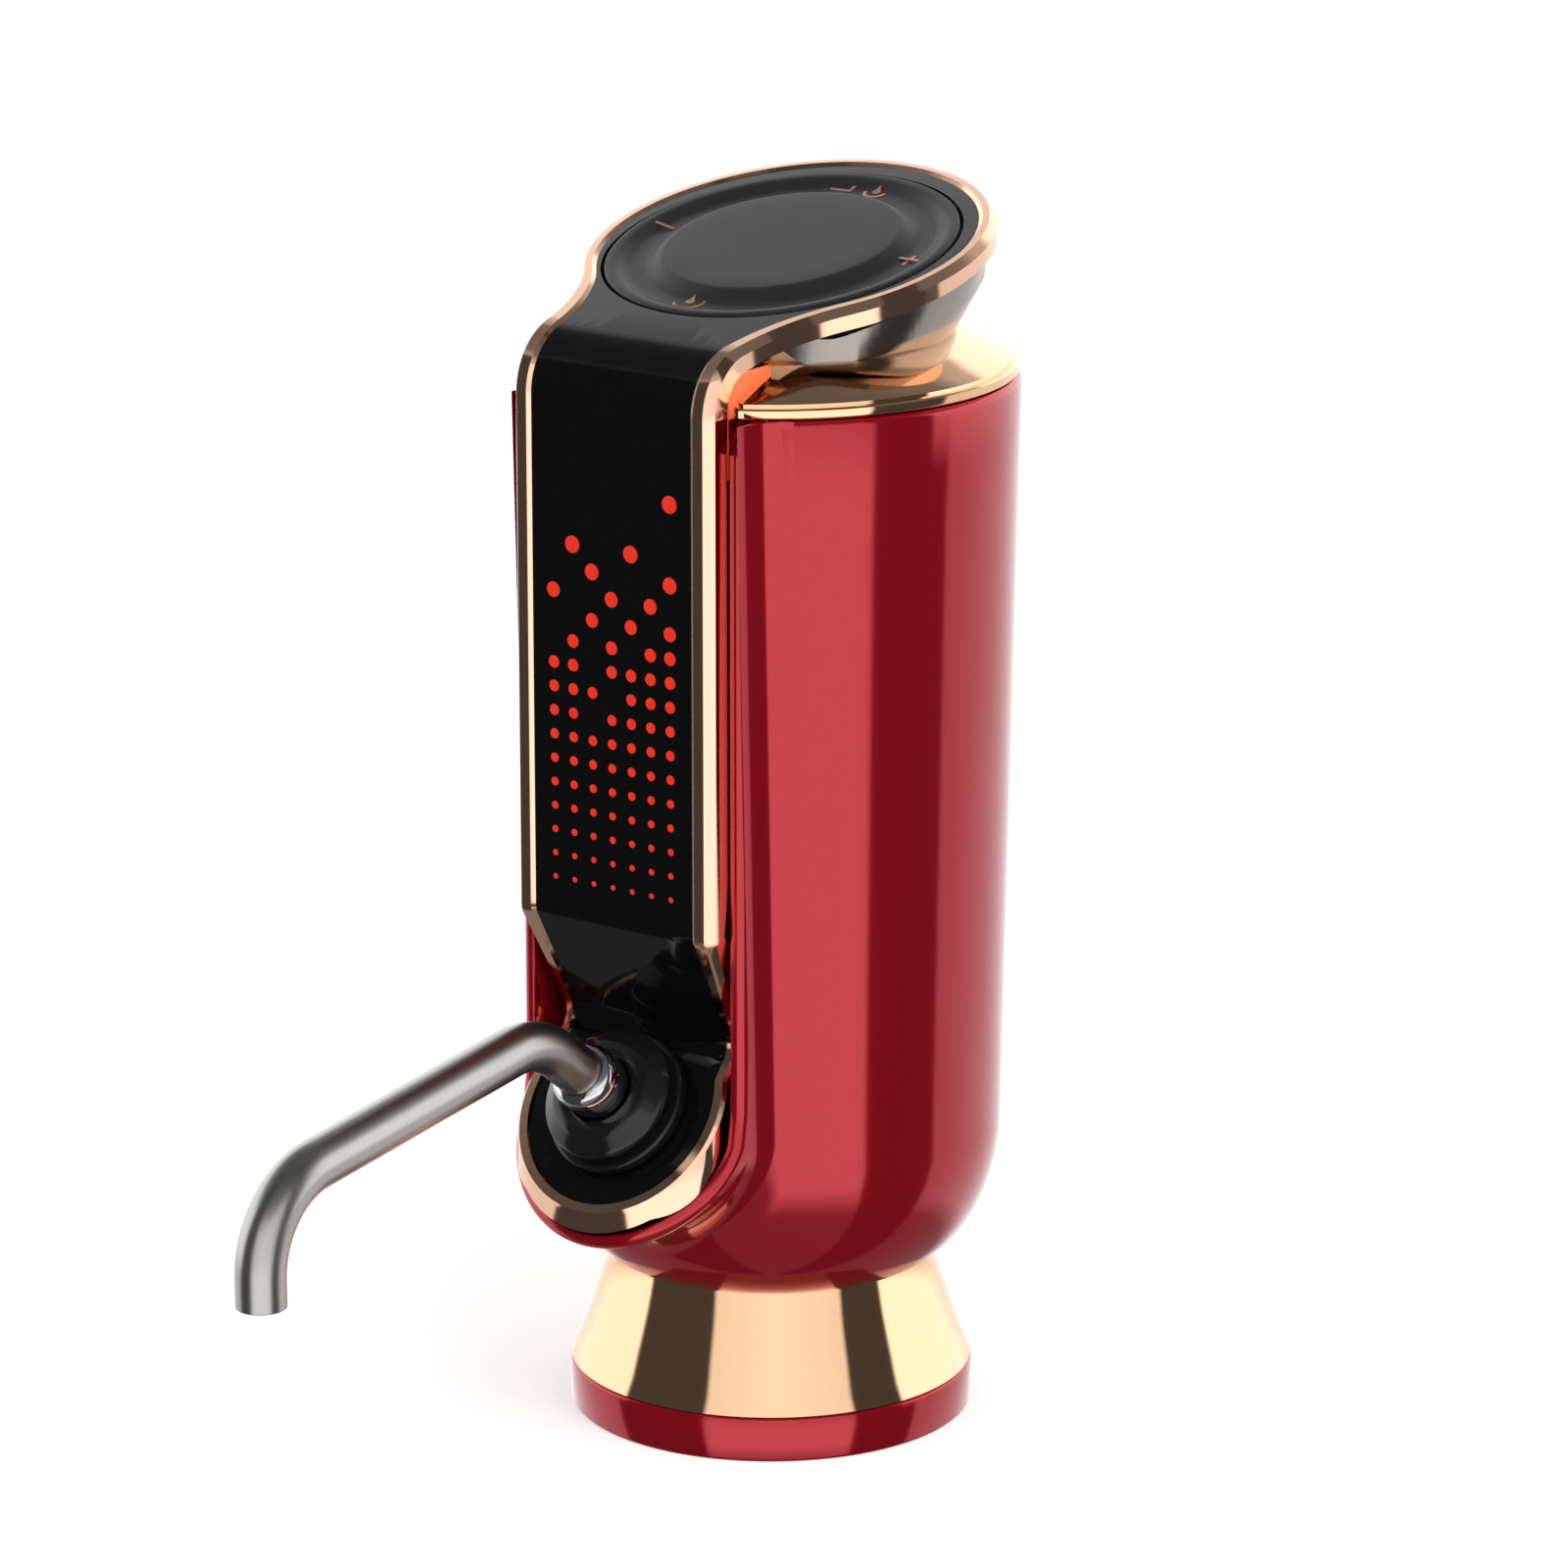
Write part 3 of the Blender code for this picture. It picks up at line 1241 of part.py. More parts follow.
def make_chassis(spots):
    """Inner frame: a lower ring, two legs, a shelf, a spine with two arms and a top ring."""
    ring_top = CHASSIS_LOW + CHASSIS_PLATE
    low_radius = bottom_radius(CHASSIS_LOW, BODY_WALL) - PLATE_EDGE_GAP
    high_radius = BODY_CURVE_RADIUS - BODY_WALL - GAP
    chassis = turned(
        "chassis",
        [
            (low_radius, ring_top),
            (low_radius, CHASSIS_LOW),
            (CHASSIS_RING_INNER, CHASSIS_LOW),
            (CHASSIS_RING_INNER, ring_top),
        ],
        INNER_PLASTIC,
        SHELL_SIDES,
    )
    thick = CHASSIS_PLATE / 2
    for side, name in ((1, "right"), (-1, "left")):
        edges = sorted((side * LEG_INNER, side * LEG_OUTER))
        low = (edges[0], -thick, CHASSIS_LOW + SEAM)
        join(chassis, box("leg_" + name, low, (edges[1], thick, SHELF_HEIGHT + SEAM)))
    join(chassis, rod("shelf", high_radius, SHELF_HEIGHT, SHELF_LEVEL, None, None, SHELL_SIDES))
    top_low = SPIGOT_LOW - GAP - CHASSIS_PLATE
    spine = box(
        "spine",
        (-high_radius + GAP, -thick, SHELF_HEIGHT + SEAM),
        (high_radius - GAP, thick, top_low + SEAM),
    )
    top_ring = turned(
        "top_ring",
        [
            (high_radius, top_low + CHASSIS_PLATE),
            (high_radius, top_low),
            (TOP_PLATE_HOLE, top_low),
            (TOP_PLATE_HOLE, top_low + CHASSIS_PLATE),
        ],
        None,
        SHELL_SIDES,
    )
    join(chassis, spine, top_ring)
    front = -2 * BODY_TOP_RADIUS
    wide = 2 * BODY_TOP_RADIUS
    level = SHELF_HEIGHT - SEAM
    ring_front = box("ring_front", (-wide, front, 0), (wide, -CHASSIS_FRONT, level))
    back = -POCKET_BACK - SEAM
    shelf_front = box("shelf_front", (-wide, front, CHASSIS_LOW), (wide, back, CAP_CENTRE_HEIGHT))
    channel = box("hose_channel", (-HOSE_CHANNEL, front, 0), (HOSE_CHANNEL, -HOSE_CHANNEL, level))
    cut(chassis, ring_front, shelf_front, channel)
    back = PANEL_FRONT - FACE_SINK - FACE_THICKNESS - CARRIER_THICKNESS - 2 * GAP
    for side, name in ((1, "right"), (-1, "left")):
        middle = side * POST_OFFSET
        edges = (middle - POST_HALF_WIDTH, middle + POST_HALF_WIDTH)
        low = top_low - SEAM
        high = top_low + CHASSIS_PLATE
        join(chassis, box("arm_" + name, (edges[0], -back, low), (edges[1], -TOP_PLATE_HOLE, high)))
    hanger_low = USB_HEIGHT - USB_THICKNESS / 2
    for side, name in ((1, "right"), (-1, "left")):
        edges = sorted((side * (USB_HALF_WIDTH + CHASSIS_PLATE / 2), side * CHARGE_BOARD_HALF_WIDTH))
        near = CHARGE_BOARD_FRONT
        far = near + CHASSIS_PLATE
        low = (edges[0], near, hanger_low)
        join(chassis, box("hanger_" + name, low, (edges[1], far, SHELF_HEIGHT + SEAM)))
    outlet = upright(PIPE_OFFSET, -OUTLET_OFFSET)
    hole = PIPE_RADIUS + RUNNING_GAP
    cut(chassis, rod("outlet_hole", hole, SHELF_HEIGHT - OVERRUN, SHELF_LEVEL + OVERRUN, None, outlet))
    for number, (across, along) in enumerate(spots, 1):
        stand = upright(across, along)
        hole = SCREW_RADIUS + SEAM
        below = CHASSIS_LOW - OVERRUN
        cut(chassis, rod("ring_hole_%d" % number, hole, below, ring_top + OVERRUN, None, stand))
        head = ring_top + GAP
        turned(
            "chassis_screw_%d" % number,
            [
                (0, head + SCREW_HEAD_HEIGHT),
                (SCREW_HEAD_RADIUS, head + SCREW_HEAD_HEIGHT),
                (SCREW_HEAD_RADIUS, head),
                (SCREW_RADIUS, head),
                (SCREW_RADIUS, PLATE_TOP),
                (0, PLATE_TOP),
            ],
            MOTOR_STEEL,
            SMALL_SIDES,
            stand,
        )


def make_electrics(body):
    """Battery cell, boards, and the charging socket in the back of the body."""
    low = SHELF_LEVEL + GAP
    along = CHASSIS_PLATE / 2 + GAP + BATTERY_RADIUS
    stand = upright(0, along)
    turned(
        "battery",
        [
            (0, low + BATTERY_LENGTH),
            (BATTERY_RADIUS, low + BATTERY_LENGTH),
            (BATTERY_RADIUS, low),
            (0, low),
        ],
        CELL_WRAP,
        ROUND_SIDES,
        stand,
    )
    near = CHASSIS_PLATE / 2 + GAP
    box(
        "main_board",
        (MAIN_BOARD_OFFSET, near, low),
        (MAIN_BOARD_OFFSET + BOARD_THICKNESS, near + MAIN_BOARD_WIDTH, low + MAIN_BOARD_LENGTH),
        BOARD_GREEN,
    )
    half = USB_THICKNESS / 2
    outside = BODY_CURVE_RADIUS - GAP
    inside = outside - USB_DEPTH
    socket = box(
        "charging_socket",
        (-USB_HALF_WIDTH, inside, USB_HEIGHT - half),
        (USB_HALF_WIDTH, outside, USB_HEIGHT + half),
        MOTOR_STEEL,
    )
    edge = USB_HALF_WIDTH - USB_SHELL
    level = half - USB_SHELL
    mouth = box(
        "socket_mouth",
        (-edge, inside + USB_SHELL, USB_HEIGHT - level),
        (edge, outside + OVERRUN, USB_HEIGHT + level),
    )
    tongue = USB_TONGUE / 2
    narrow = edge - level
    centre = box(
        "socket_tongue",
        (-narrow, inside + USB_SHELL / 2, USB_HEIGHT - tongue),
        (narrow, outside - USB_SHELL, USB_HEIGHT + tongue),
    )
    cut(socket, mouth)
    join(socket, centre)
    wide = USB_HALF_WIDTH + GAP
    tall = half + GAP
    port = box(
        "charging_port",
        (-wide, inside, USB_HEIGHT - tall),
        (wide, outside + OVERRUN, USB_HEIGHT + tall),
    )
    cut(body, port)
    top = USB_HEIGHT - half - GAP
    depth = CHARGE_BOARD_FRONT + CHARGE_BOARD_DEPTH
    box(
        "charge_board",
        (-CHARGE_BOARD_HALF_WIDTH, CHARGE_BOARD_FRONT, top - BOARD_THICKNESS),
        (CHARGE_BOARD_HALF_WIDTH, depth, top),
        BOARD_GREEN,
    )


def make_pump():
    """Motor, crank and rotor in one turning piece, over the housing, the diaphragm and the head."""
    stand = upright(0, -PUMP_OFFSET)
    low = SHELF_LEVEL + GAP
    head_top = low + PUMP_HEAD_HEIGHT
    half = PUMP_HALF_WIDTH
    head = box(
        "pump_head",
        (-half, -half - PUMP_OFFSET, low),
        (half, half - PUMP_OFFSET, head_top),
        WHITE_PLASTIC,
    )
    outlet = upright(PIPE_OFFSET, -OUTLET_OFFSET)
    outlet_low = SHELF_HEIGHT - PIPE_STUB
    join(head, rod("outlet_stub", PIPE_RADIUS, outlet_low, low + SEAM, None, outlet))
    cut(head, rod("outlet_bore", PIPE_BORE, outlet_low - OVERRUN, head_top - PIPE_STUB, None, outlet))
    disc_low = head_top + GAP
    disc_top = disc_low + DIAPHRAGM_THICKNESS
    turned(
        "pump_diaphragm",
        [
            (0, disc_top),
            (DIAPHRAGM_RADIUS, disc_top),
            (DIAPHRAGM_RADIUS, disc_low),
            (0, disc_low),
        ],
        BLACK_RUBBER,
        ROUND_SIDES,
        stand,
    )
    house_low = disc_top + GAP
    house_top = house_low + PUMP_HOUSING_HEIGHT
    housing = box(
        "pump_housing",
        (-half, -half - PUMP_OFFSET, house_low),
        (half, half - PUMP_OFFSET, house_top),
        WHITE_PLASTIC,
    )
    room = half - PUMP_HOUSING_WALL
    cut(
        housing,
        box(
            "housing_space",
            (-room, -room - PUMP_OFFSET, house_low - OVERRUN),
            (room, room - PUMP_OFFSET, house_top - PUMP_HOUSING_WALL),
        ),
    )
    bearing = SHAFT_RADIUS + RUNNING_GAP
    cut(housing, rod("housing_hole", bearing, house_low, house_top + OVERRUN, None, stand))
    can_low = house_top + GAP
    can_top = can_low + MOTOR_LENGTH
    inner = MOTOR_RADIUS - MOTOR_WALL
    turned(
        "motor_can",
        [
            (inner, can_top),
            (MOTOR_RADIUS, can_top),
            (MOTOR_RADIUS, can_low),
            (bearing, can_low),
            (bearing, can_low + MOTOR_WALL),
            (inner, can_low + MOTOR_WALL),
        ],
        MOTOR_STEEL,
        ROUND_SIDES,
        stand,
    )
    cap_low = can_top + GAP
    plug = inner - GAP
    turned(
        "motor_end_cap",
        [
            (MOTOR_RADIUS, cap_low + MOTOR_END_THICKNESS),
            (MOTOR_RADIUS, cap_low),
            (plug, cap_low),
            (plug, cap_low - MOTOR_WALL),
            (bearing, cap_low - MOTOR_WALL),
            (bearing, cap_low + MOTOR_END_THICKNESS),
        ],
        INNER_PLASTIC,
        ROUND_SIDES,
        stand,
    )
    crank_low = house_low + CRANK_SPACE
    crank_top = crank_low + CRANK_HEIGHT
    winding_low = can_low + 2 * MOTOR_END_THICKNESS
    winding_top = can_top - 2 * MOTOR_END_THICKNESS
    rotor = turned(
        "pump_rotor",
        [
            (0, cap_low + MOTOR_END_THICKNESS / 2),
            (SHAFT_RADIUS, cap_low + MOTOR_END_THICKNESS / 2),
            (SHAFT_RADIUS, winding_top),
            (ARMATURE_RADIUS, winding_top),
            (ARMATURE_RADIUS, winding_low),
            (SHAFT_RADIUS, winding_low),
            (SHAFT_RADIUS, crank_low),
            (0, crank_low),
        ],
        MOTOR_STEEL,
        ROUND_SIDES,
        stand,
    )
    offset = upright(CRANK_OFFSET, -PUMP_OFFSET)
    join(rotor, rod("crank", CRANK_RADIUS, crank_low - SEAM, crank_top, None, offset, ROUND_SIDES))


def curved_line(start, leave, end, arrive, steps):
    """Points on a smooth curve that leaves and arrives in given directions."""
    points = []
    for i in range(steps + 1):
        t = i / steps
        a = 2 * t**3 - 3 * t**2 + 1
        b = t**3 - 2 * t**2 + t
        c = t**3 - t**2
        points.append(start * a + leave * b + end * (1 - a) + arrive * c)
    return points


def make_fluids(socket_end):
    """Aeration chamber, check valve with its poppet, and the two silicone hoses."""
    low = FLANGE_TOP + GAP
    floor = PIPE_TOP + GAP
    fit = PIPE_RADIUS + GAP
    top = low + CHAMBER_LENGTH
    stand = upright(-PIPE_OFFSET, 0)
    room = CHAMBER_RADIUS - CHAMBER_WALL
    chamber = turned(
        "aeration_chamber",
        [
            (0, top),
            (CHAMBER_RADIUS, top),
            (CHAMBER_RADIUS, low),
            (fit, low),
            (fit, floor),
            (room, floor),
            (room, top - CHAMBER_WALL),
            (0, top - CHAMBER_WALL),
        ],
        INNER_PLASTIC,
        ROUND_SIDES,
        stand,
    )
    level = floor + BARB_RADIUS
    sideways = Matrix.Translation((-PIPE_OFFSET, 0, level)) @ Matrix.Rotation(math.radians(90), 4, "X")
    reach = CHAMBER_RADIUS + BARB_LENGTH
    join(chamber, rod("chamber_barb", BARB_RADIUS, CHAMBER_RADIUS - CHAMBER_WALL / 2, reach, None, sideways))
    cut(chamber, rod("chamber_bore", SOCKET_BORE, 0, reach + OVERRUN, None, sideways))
    valve_top = low + VALVE_LENGTH
    seat = valve_top - VALVE_SEAT
    room_low = floor + VALVE_SEAT / 2
    stand = upright(PIPE_OFFSET, 0)
    turned(
        "check_valve_body",
        [
            (PIPE_BORE, valve_top),
            (VALVE_RADIUS, valve_top),
            (VALVE_RADIUS, low),
            (fit, low),
            (fit, floor),
            (PIPE_BORE, floor),
            (PIPE_BORE, room_low),
            (VALVE_BORE, room_low),
            (VALVE_BORE, seat),
            (PIPE_BORE, seat),
        ],
        WHITE_PLASTIC,
        ROUND_SIDES,
        stand,
    )
    face = seat - GAP
    turned(
        "check_valve_poppet",
        [
            (0, face),
            (POPPET_RADIUS, face),
            (POPPET_RADIUS, face - POPPET_THICKNESS),
            (POPPET_STEM, face - POPPET_THICKNESS),
            (POPPET_STEM, face - POPPET_THICKNESS - POPPET_STEM_LENGTH),
            (0, face - POPPET_THICKNESS - POPPET_STEM_LENGTH),
        ],
        BLACK_RUBBER,
        SMALL_SIDES,
        stand,
    )
    spot = PLATE_MIDDLE + PLATE_OUT * (socket_end - GAP)
    inward = PLATE_OUT * -HOSE_CURVE
    hoses = (
        (
            "wine_hose",
            Vector((0, spot.x, spot.y)),
            Vector((0, inward.x, inward.y)),
            Vector((-PIPE_OFFSET, -reach - GAP, level)),
            Vector((0, HOSE_CURVE, 0)),
        ),
        (
            "air_hose",
            Vector((PIPE_OFFSET, -OUTLET_OFFSET, SHELF_HEIGHT - PIPE_STUB - GAP)),
            Vector((0, 0, -AIR_HOSE_CURVE)),
            Vector((PIPE_OFFSET, 0, valve_top + GAP)),
            Vector((0, 0, -AIR_HOSE_CURVE)),
        ),
    )
    for name, start, leave, end, arrive in hoses:
        straight = HOSE_RADIUS / 2
        near = start + leave.normalized() * straight
        far = end - arrive.normalized() * straight
        line = [start] + curved_line(near, leave, far, arrive, HOSE_STEPS) + [end]
        before = start - leave.normalized() * OVERRUN
        after = end + arrive.normalized() * OVERRUN
        hose = piped(name, line, HOSE_RADIUS, SILICONE)
        cut(hose, piped(name + "_bore", [before] + line + [after], HOSE_BORE, None))


def main():
    make_foot()
    body = make_body()
    notch = make_rings()
    make_ribbon()
    make_neck(notch)
    make_carrier()
    make_display()
    make_pad()
    socket_end, lip = make_boss()
    make_spout(lip)
    spots = make_base()
    make_chassis(spots)
    make_electrics(body)
    make_pump()
    make_fluids(socket_end)


main()
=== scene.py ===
# %% [markdown]
# # Electric wine aerator
#
# An aerator mixes wine with air as it pumps it out through a bent spout. It is a red lacquered
# body on a gold foot, with a black face that runs from the round control pad on top, over the
# front, down to the spout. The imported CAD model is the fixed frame: it says where
# every piece is and what moves with what, and each piece made here rides on one of its bodies.

# %% The frame and the tools
import math

import bmesh
import bpy
from mathutils import Matrix, Vector
from mathutils.geometry import intersect_line_plane


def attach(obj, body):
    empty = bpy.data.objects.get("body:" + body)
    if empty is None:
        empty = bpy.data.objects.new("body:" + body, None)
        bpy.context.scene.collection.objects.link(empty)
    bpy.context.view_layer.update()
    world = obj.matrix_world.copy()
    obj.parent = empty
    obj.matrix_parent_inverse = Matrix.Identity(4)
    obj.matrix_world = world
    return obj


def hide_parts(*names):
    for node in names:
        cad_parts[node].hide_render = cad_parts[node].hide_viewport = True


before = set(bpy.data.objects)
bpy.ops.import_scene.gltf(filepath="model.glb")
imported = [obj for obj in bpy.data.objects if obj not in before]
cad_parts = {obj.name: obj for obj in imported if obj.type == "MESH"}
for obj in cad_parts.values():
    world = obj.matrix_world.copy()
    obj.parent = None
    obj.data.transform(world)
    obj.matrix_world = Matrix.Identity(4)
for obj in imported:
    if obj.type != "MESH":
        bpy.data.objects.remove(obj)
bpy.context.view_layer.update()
MM = 0.001

# %% [markdown]
# The camera stands where the photograph was taken: a little above the object and to the right
# of its face. A long lens keeps the upright lines upright. Its place came from matching rings
# of known size, so it is written as numbers rather than found by eye.

# %% The camera
CAMERA_SPOT = Vector((495.15, -666.78, 309.80)) * MM
CAMERA_AIM = Vector((-0.5729, 0.7746, -0.2679))
CAMERA_TURN = math.radians(36.484)
SENSOR_MM = 36
LENS_MM = 161.83

camera_data = bpy.data.cameras.new("photo_camera")
camera_data.sensor_width = SENSOR_MM
camera_data.lens = LENS_MM
camera_data.clip_start = 0.01
camera = bpy.data.objects.new("photo_camera", camera_data)
bpy.context.scene.collection.objects.link(camera)
camera.location = CAMERA_SPOT
camera.rotation_euler = CAMERA_AIM.to_track_quat("-Z", "Y").to_euler()
bpy.context.scene.camera = camera
bpy.context.scene.view_settings.view_transform = "Standard"
print("camera distance:", round(CAMERA_SPOT.length, 3), "m")

# %% [markdown]
# Materials are small graphs of nodes. One function turns a colour as it is written on a screen
# to the linear numbers that light adds up in. One small function adds a node with its settings
# and its links, so that a graph reads as a list.


# %% Colour and node helpers
def linear(hex_colour):
    """The linear colour of an sRGB hex value such as "c83e48"."""
    parts = [int(hex_colour[i : i + 2], 16) / 255 for i in (0, 2, 4)]
    return [c / 12.92 if c <= 0.04045 else ((c + 0.055) / 1.055) ** 2.4 for c in parts] + [1]


def add_node(tree, kind, settings=None, links=None):
    """A node of a kind, with its settings, its socket values and the sockets that feed it."""
    made = tree.nodes.new(kind)
    for name, value in (settings or {}).items():
        if isinstance(name, str) and hasattr(made, name):
            setattr(made, name, value)
        else:
            made.inputs[name].default_value = value
    for name, source in (links or {}).items():
        tree.links.new(source, made.inputs[name])
    return made


def ramp(tree, fed_by, stops):
    """A colour ramp with (position, linear colour) stops."""
    made = add_node(tree, "ShaderNodeValToRGB", {}, {"Fac": fed_by})
    while len(made.color_ramp.elements) < len(stops):
        made.color_ramp.elements.new(0.5)
    for element, (position, colour) in zip(made.color_ramp.elements, stops):
        element.position = position
        element.color = colour
    return made.outputs["Color"]


# %% [markdown]
# The studio is a ring of soft boxes with two dark gaps, one ring low down and another from about
# the horizon up. Polished gold and lacquer show little but their surroundings, so the gaps draw
# the dark stripes that make them look polished. They are part of the world and stay where they
# are when the camera moves. The camera itself sees plain white behind the object.

# %% The studio
GAP_LIGHT = 0.06
AMBIENT = 0.75


def front_box(middle, edge):
    """The box behind the camera, between two dark gaps: (degrees from the camera, brightness)."""
    return [(-39, GAP_LIGHT), (-37, edge), (5, middle), (47, edge), (49, GAP_LIGHT)]


# Where the low ring and the high ring change: (degrees from the camera, brightness)
LOW_RING = [(-180, 1.3), (-150, 1.0), (-120, 0.8), (-96, 0.8), (-94, GAP_LIGHT)] + front_box(1.4, 1.4)
LOW_RING += [(88, GAP_LIGHT), (90, 0.75), (130, 0.85), (160, 1.1), (180, 1.3)]
HIGH_RING = [(-180, 1.4), (-90, 1.4), (-88, GAP_LIGHT)] + front_box(1.15, 0.95)
HIGH_RING += [(78, GAP_LIGHT), (80, 1.5), (180, 1.4)]
# Heights (the sine of the elevation) and the most light that comes from there
MOST_LIGHT = [(-1, 0.2), (-0.64, 0.25), (-0.44, 1.5), (-0.43, 2), (0.45, 2), (0.55, 0.55), (0.62, 0.5)]
MOST_LIGHT += [(0.7, 0.2), (0.9, 0.12), (1, 0.12)]
# The heights between which the low ring fades into the high one
FADE_LOW, FADE_HIGH = -0.2, -0.1

world = bpy.data.worlds.new("studio")
bpy.context.scene.world = world
world.use_nodes = True
sky = world.node_tree
sky.nodes.clear()
around = add_node(sky, "ShaderNodeTexCoord")
turn = add_node(
    sky,
    "ShaderNodeVectorRotate",
    {"rotation_type": "Z_AXIS", "Angle": -CAMERA_TURN},
    {"Vector": around.outputs["Generated"]},
)
way = add_node(sky, "ShaderNodeSeparateXYZ", {}, {"Vector": turn.outputs["Vector"]})
toward = add_node(sky, "ShaderNodeMath", {"operation": "MULTIPLY", 1: -1.0}, {0: way.outputs["Y"]})
azimuth = add_node(
    sky, "ShaderNodeMath", {"operation": "ARCTAN2"}, {0: way.outputs["X"], 1: toward.outputs[0]}
)
share = add_node(
    sky,
    "ShaderNodeMapRange",
    {"From Min": -math.pi, "From Max": math.pi},
    {"Value": azimuth.outputs[0]},
)
low_boxes, high_boxes = (
    ramp(sky, share.outputs["Result"], [((a + 180) / 360, (b, b, b, 1)) for a, b in ring])
    for ring in (LOW_RING, HIGH_RING)
)
# A little below the horizon the low ring fades into the high one
rise = add_node(
    sky,
    "ShaderNodeMapRange",
    {"From Min": FADE_LOW, "From Max": FADE_HIGH},
    {"Value": way.outputs["Z"]},
)
both = add_node(
    sky,
    "ShaderNodeMixRGB",
    {},
    {"Fac": rise.outputs["Result"], "Color1": low_boxes, "Color2": high_boxes},
)
# The floor and the ceiling of the studio are dark, and the gaps stay dark up to the ceiling
height = add_node(
    sky, "ShaderNodeMapRange", {"From Min": -1.0, "From Max": 1.0}, {"Value": way.outputs["Z"]}
)
most = ramp(sky, height.outputs["Result"], [((z + 1) / 2, (b, b, b, 1)) for z, b in MOST_LIGHT])
ceiling = add_node(
    sky,
    "ShaderNodeMixRGB",
    {"blend_type": "DARKEN", "Fac": 1.0},
    {"Color1": both.outputs["Color"], "Color2": most},
)
rays = add_node(sky, "ShaderNodeLightPath")
even = add_node(
    sky,
    "ShaderNodeMixRGB",
    {"Color1": (AMBIENT, AMBIENT, AMBIENT, 1)},
    {"Fac": rays.outputs["Is Glossy Ray"], "Color2": ceiling.outputs["Color"]},
)
seen = add_node(
    sky,
    "ShaderNodeMixRGB",
    {"Color2": (1, 1, 1, 1)},
    {"Fac": rays.outputs["Is Camera Ray"], "Color1": even.outputs["Color"]},
)
shine = add_node(sky, "ShaderNodeBackground", {}, {"Color": seen.outputs["Color"]})
add_node(sky, "ShaderNodeOutputWorld", {}, {"Surface": shine.outputs["Background"]})
print("studio ring stops:", len(LOW_RING), len(HIGH_RING))

# %% [markdown]
# Two large area lamps, one high on the right and one low on the left, give the dull surfaces
# their shape and drop a soft shadow. They don't show in reflections, which the ring already fills.


# %% Lamps and floor
LIGHT_AIM = Vector((0, 0, 0.08))
LIGHT_SIZE = 0.5
KEY_WATTS = 3.0
FILL_WATTS = 1.2
FLOOR_SIZE = 12
FLOOR_GLOW = 0.42


def area_lamp(name, spot, watts):
    """A square soft lamp that points at the middle of the object."""
    data = bpy.data.lights.new(name, "AREA")
    data.size = LIGHT_SIZE
    data.energy = watts
    lamp = bpy.data.objects.new(name, data)
    bpy.context.scene.collection.objects.link(lamp)
    lamp.location = spot
    lamp.rotation_euler = (LIGHT_AIM - Vector(spot)).to_track_quat("-Z", "Y").to_euler()
    lamp.visible_glossy = False


area_lamp("key_lamp", (0.55, -0.25, 0.75), KEY_WATTS)
area_lamp("fill_lamp", (-0.45, -0.65, 0.35), FILL_WATTS)

bpy.ops.object.select_all(action="DESELECT")
bpy.ops.mesh.primitive_grid_add(x_subdivisions=4, y_subdivisions=4, size=FLOOR_SIZE)
floor = bpy.context.object
floor.name = "studio_floor"
floor_paint = bpy.data.materials.new("white_paper_floor")
floor_paint.use_nodes = True
paper = floor_paint.node_tree
paper.nodes.clear()
# Matt paper takes the shadow; a little light of its own, for the camera alone, lifts it to white
matt = add_node(paper, "ShaderNodeBsdfDiffuse", {"Color": (0.8, 0.8, 0.8, 1)})
glow = add_node(paper, "ShaderNodeEmission", {"Color": (1, 1, 1, 1), "Strength": FLOOR_GLOW})
clear = add_node(paper, "ShaderNodeBsdfTransparent")
rays = add_node(paper, "ShaderNodeLightPath")
lit = add_node(paper, "ShaderNodeAddShader")
paper.links.new(matt.outputs[0], lit.inputs[0])
paper.links.new(glow.outputs[0], lit.inputs[1])
for_camera = add_node(paper, "ShaderNodeMixShader", {}, {"Fac": rays.outputs["Is Camera Ray"]})
paper.links.new(matt.outputs[0], for_camera.inputs[1])
paper.links.new(lit.outputs[0], for_camera.inputs[2])
# Polished pieces see the studio ring below the table's edge, as on a glass table
for_gloss = add_node(paper, "ShaderNodeMixShader", {}, {"Fac": rays.outputs["Is Glossy Ray"]})
paper.links.new(for_camera.outputs[0], for_gloss.inputs[1])
paper.links.new(clear.outputs[0], for_gloss.inputs[2])
add_node(paper, "ShaderNodeOutputMaterial", {}, {"Surface": for_gloss.outputs[0]})
floor.data.materials.append(floor_paint)
print("lamps: 2, floor:", floor.name)

# %% [markdown]
# The finishes. Each one is named for what the real surface is, except the notch's orange, which is
# painted reflection. The lacquer is a candy coat:
# clear red over bright metal, so that its reflections are red too, under a glassy clear coat.
# The golds are vacuum plating over moulded parts. Plating is never quite even, so its colour
# and gloss vary a little, over grains of about a millimetre.


# %% Finish helpers
def finish(name, colour, roughness, metallic=0.0, **sockets):
    """A Principled material whose even values sit on the shader's own sockets."""
    made = bpy.data.materials.new(name)
    made.use_nodes = True
    shader = made.node_tree.nodes["Principled BSDF"]
    shader.inputs["Base Color"].default_value = linear(colour)
    shader.inputs["Roughness"].default_value = roughness
    shader.inputs["Metallic"].default_value = metallic
    for socket, value in sockets.items():
        shader.inputs[socket.replace("_", " ")].default_value = value
    return made


def shader_of(made):
    """The Principled shader of a material."""
    return made.node_tree.nodes["Principled BSDF"]


# The noise lies mostly between these two values
GRAIN_LOW, GRAIN_HIGH = 0.3, 0.7
GRAIN_DETAIL = 3.0


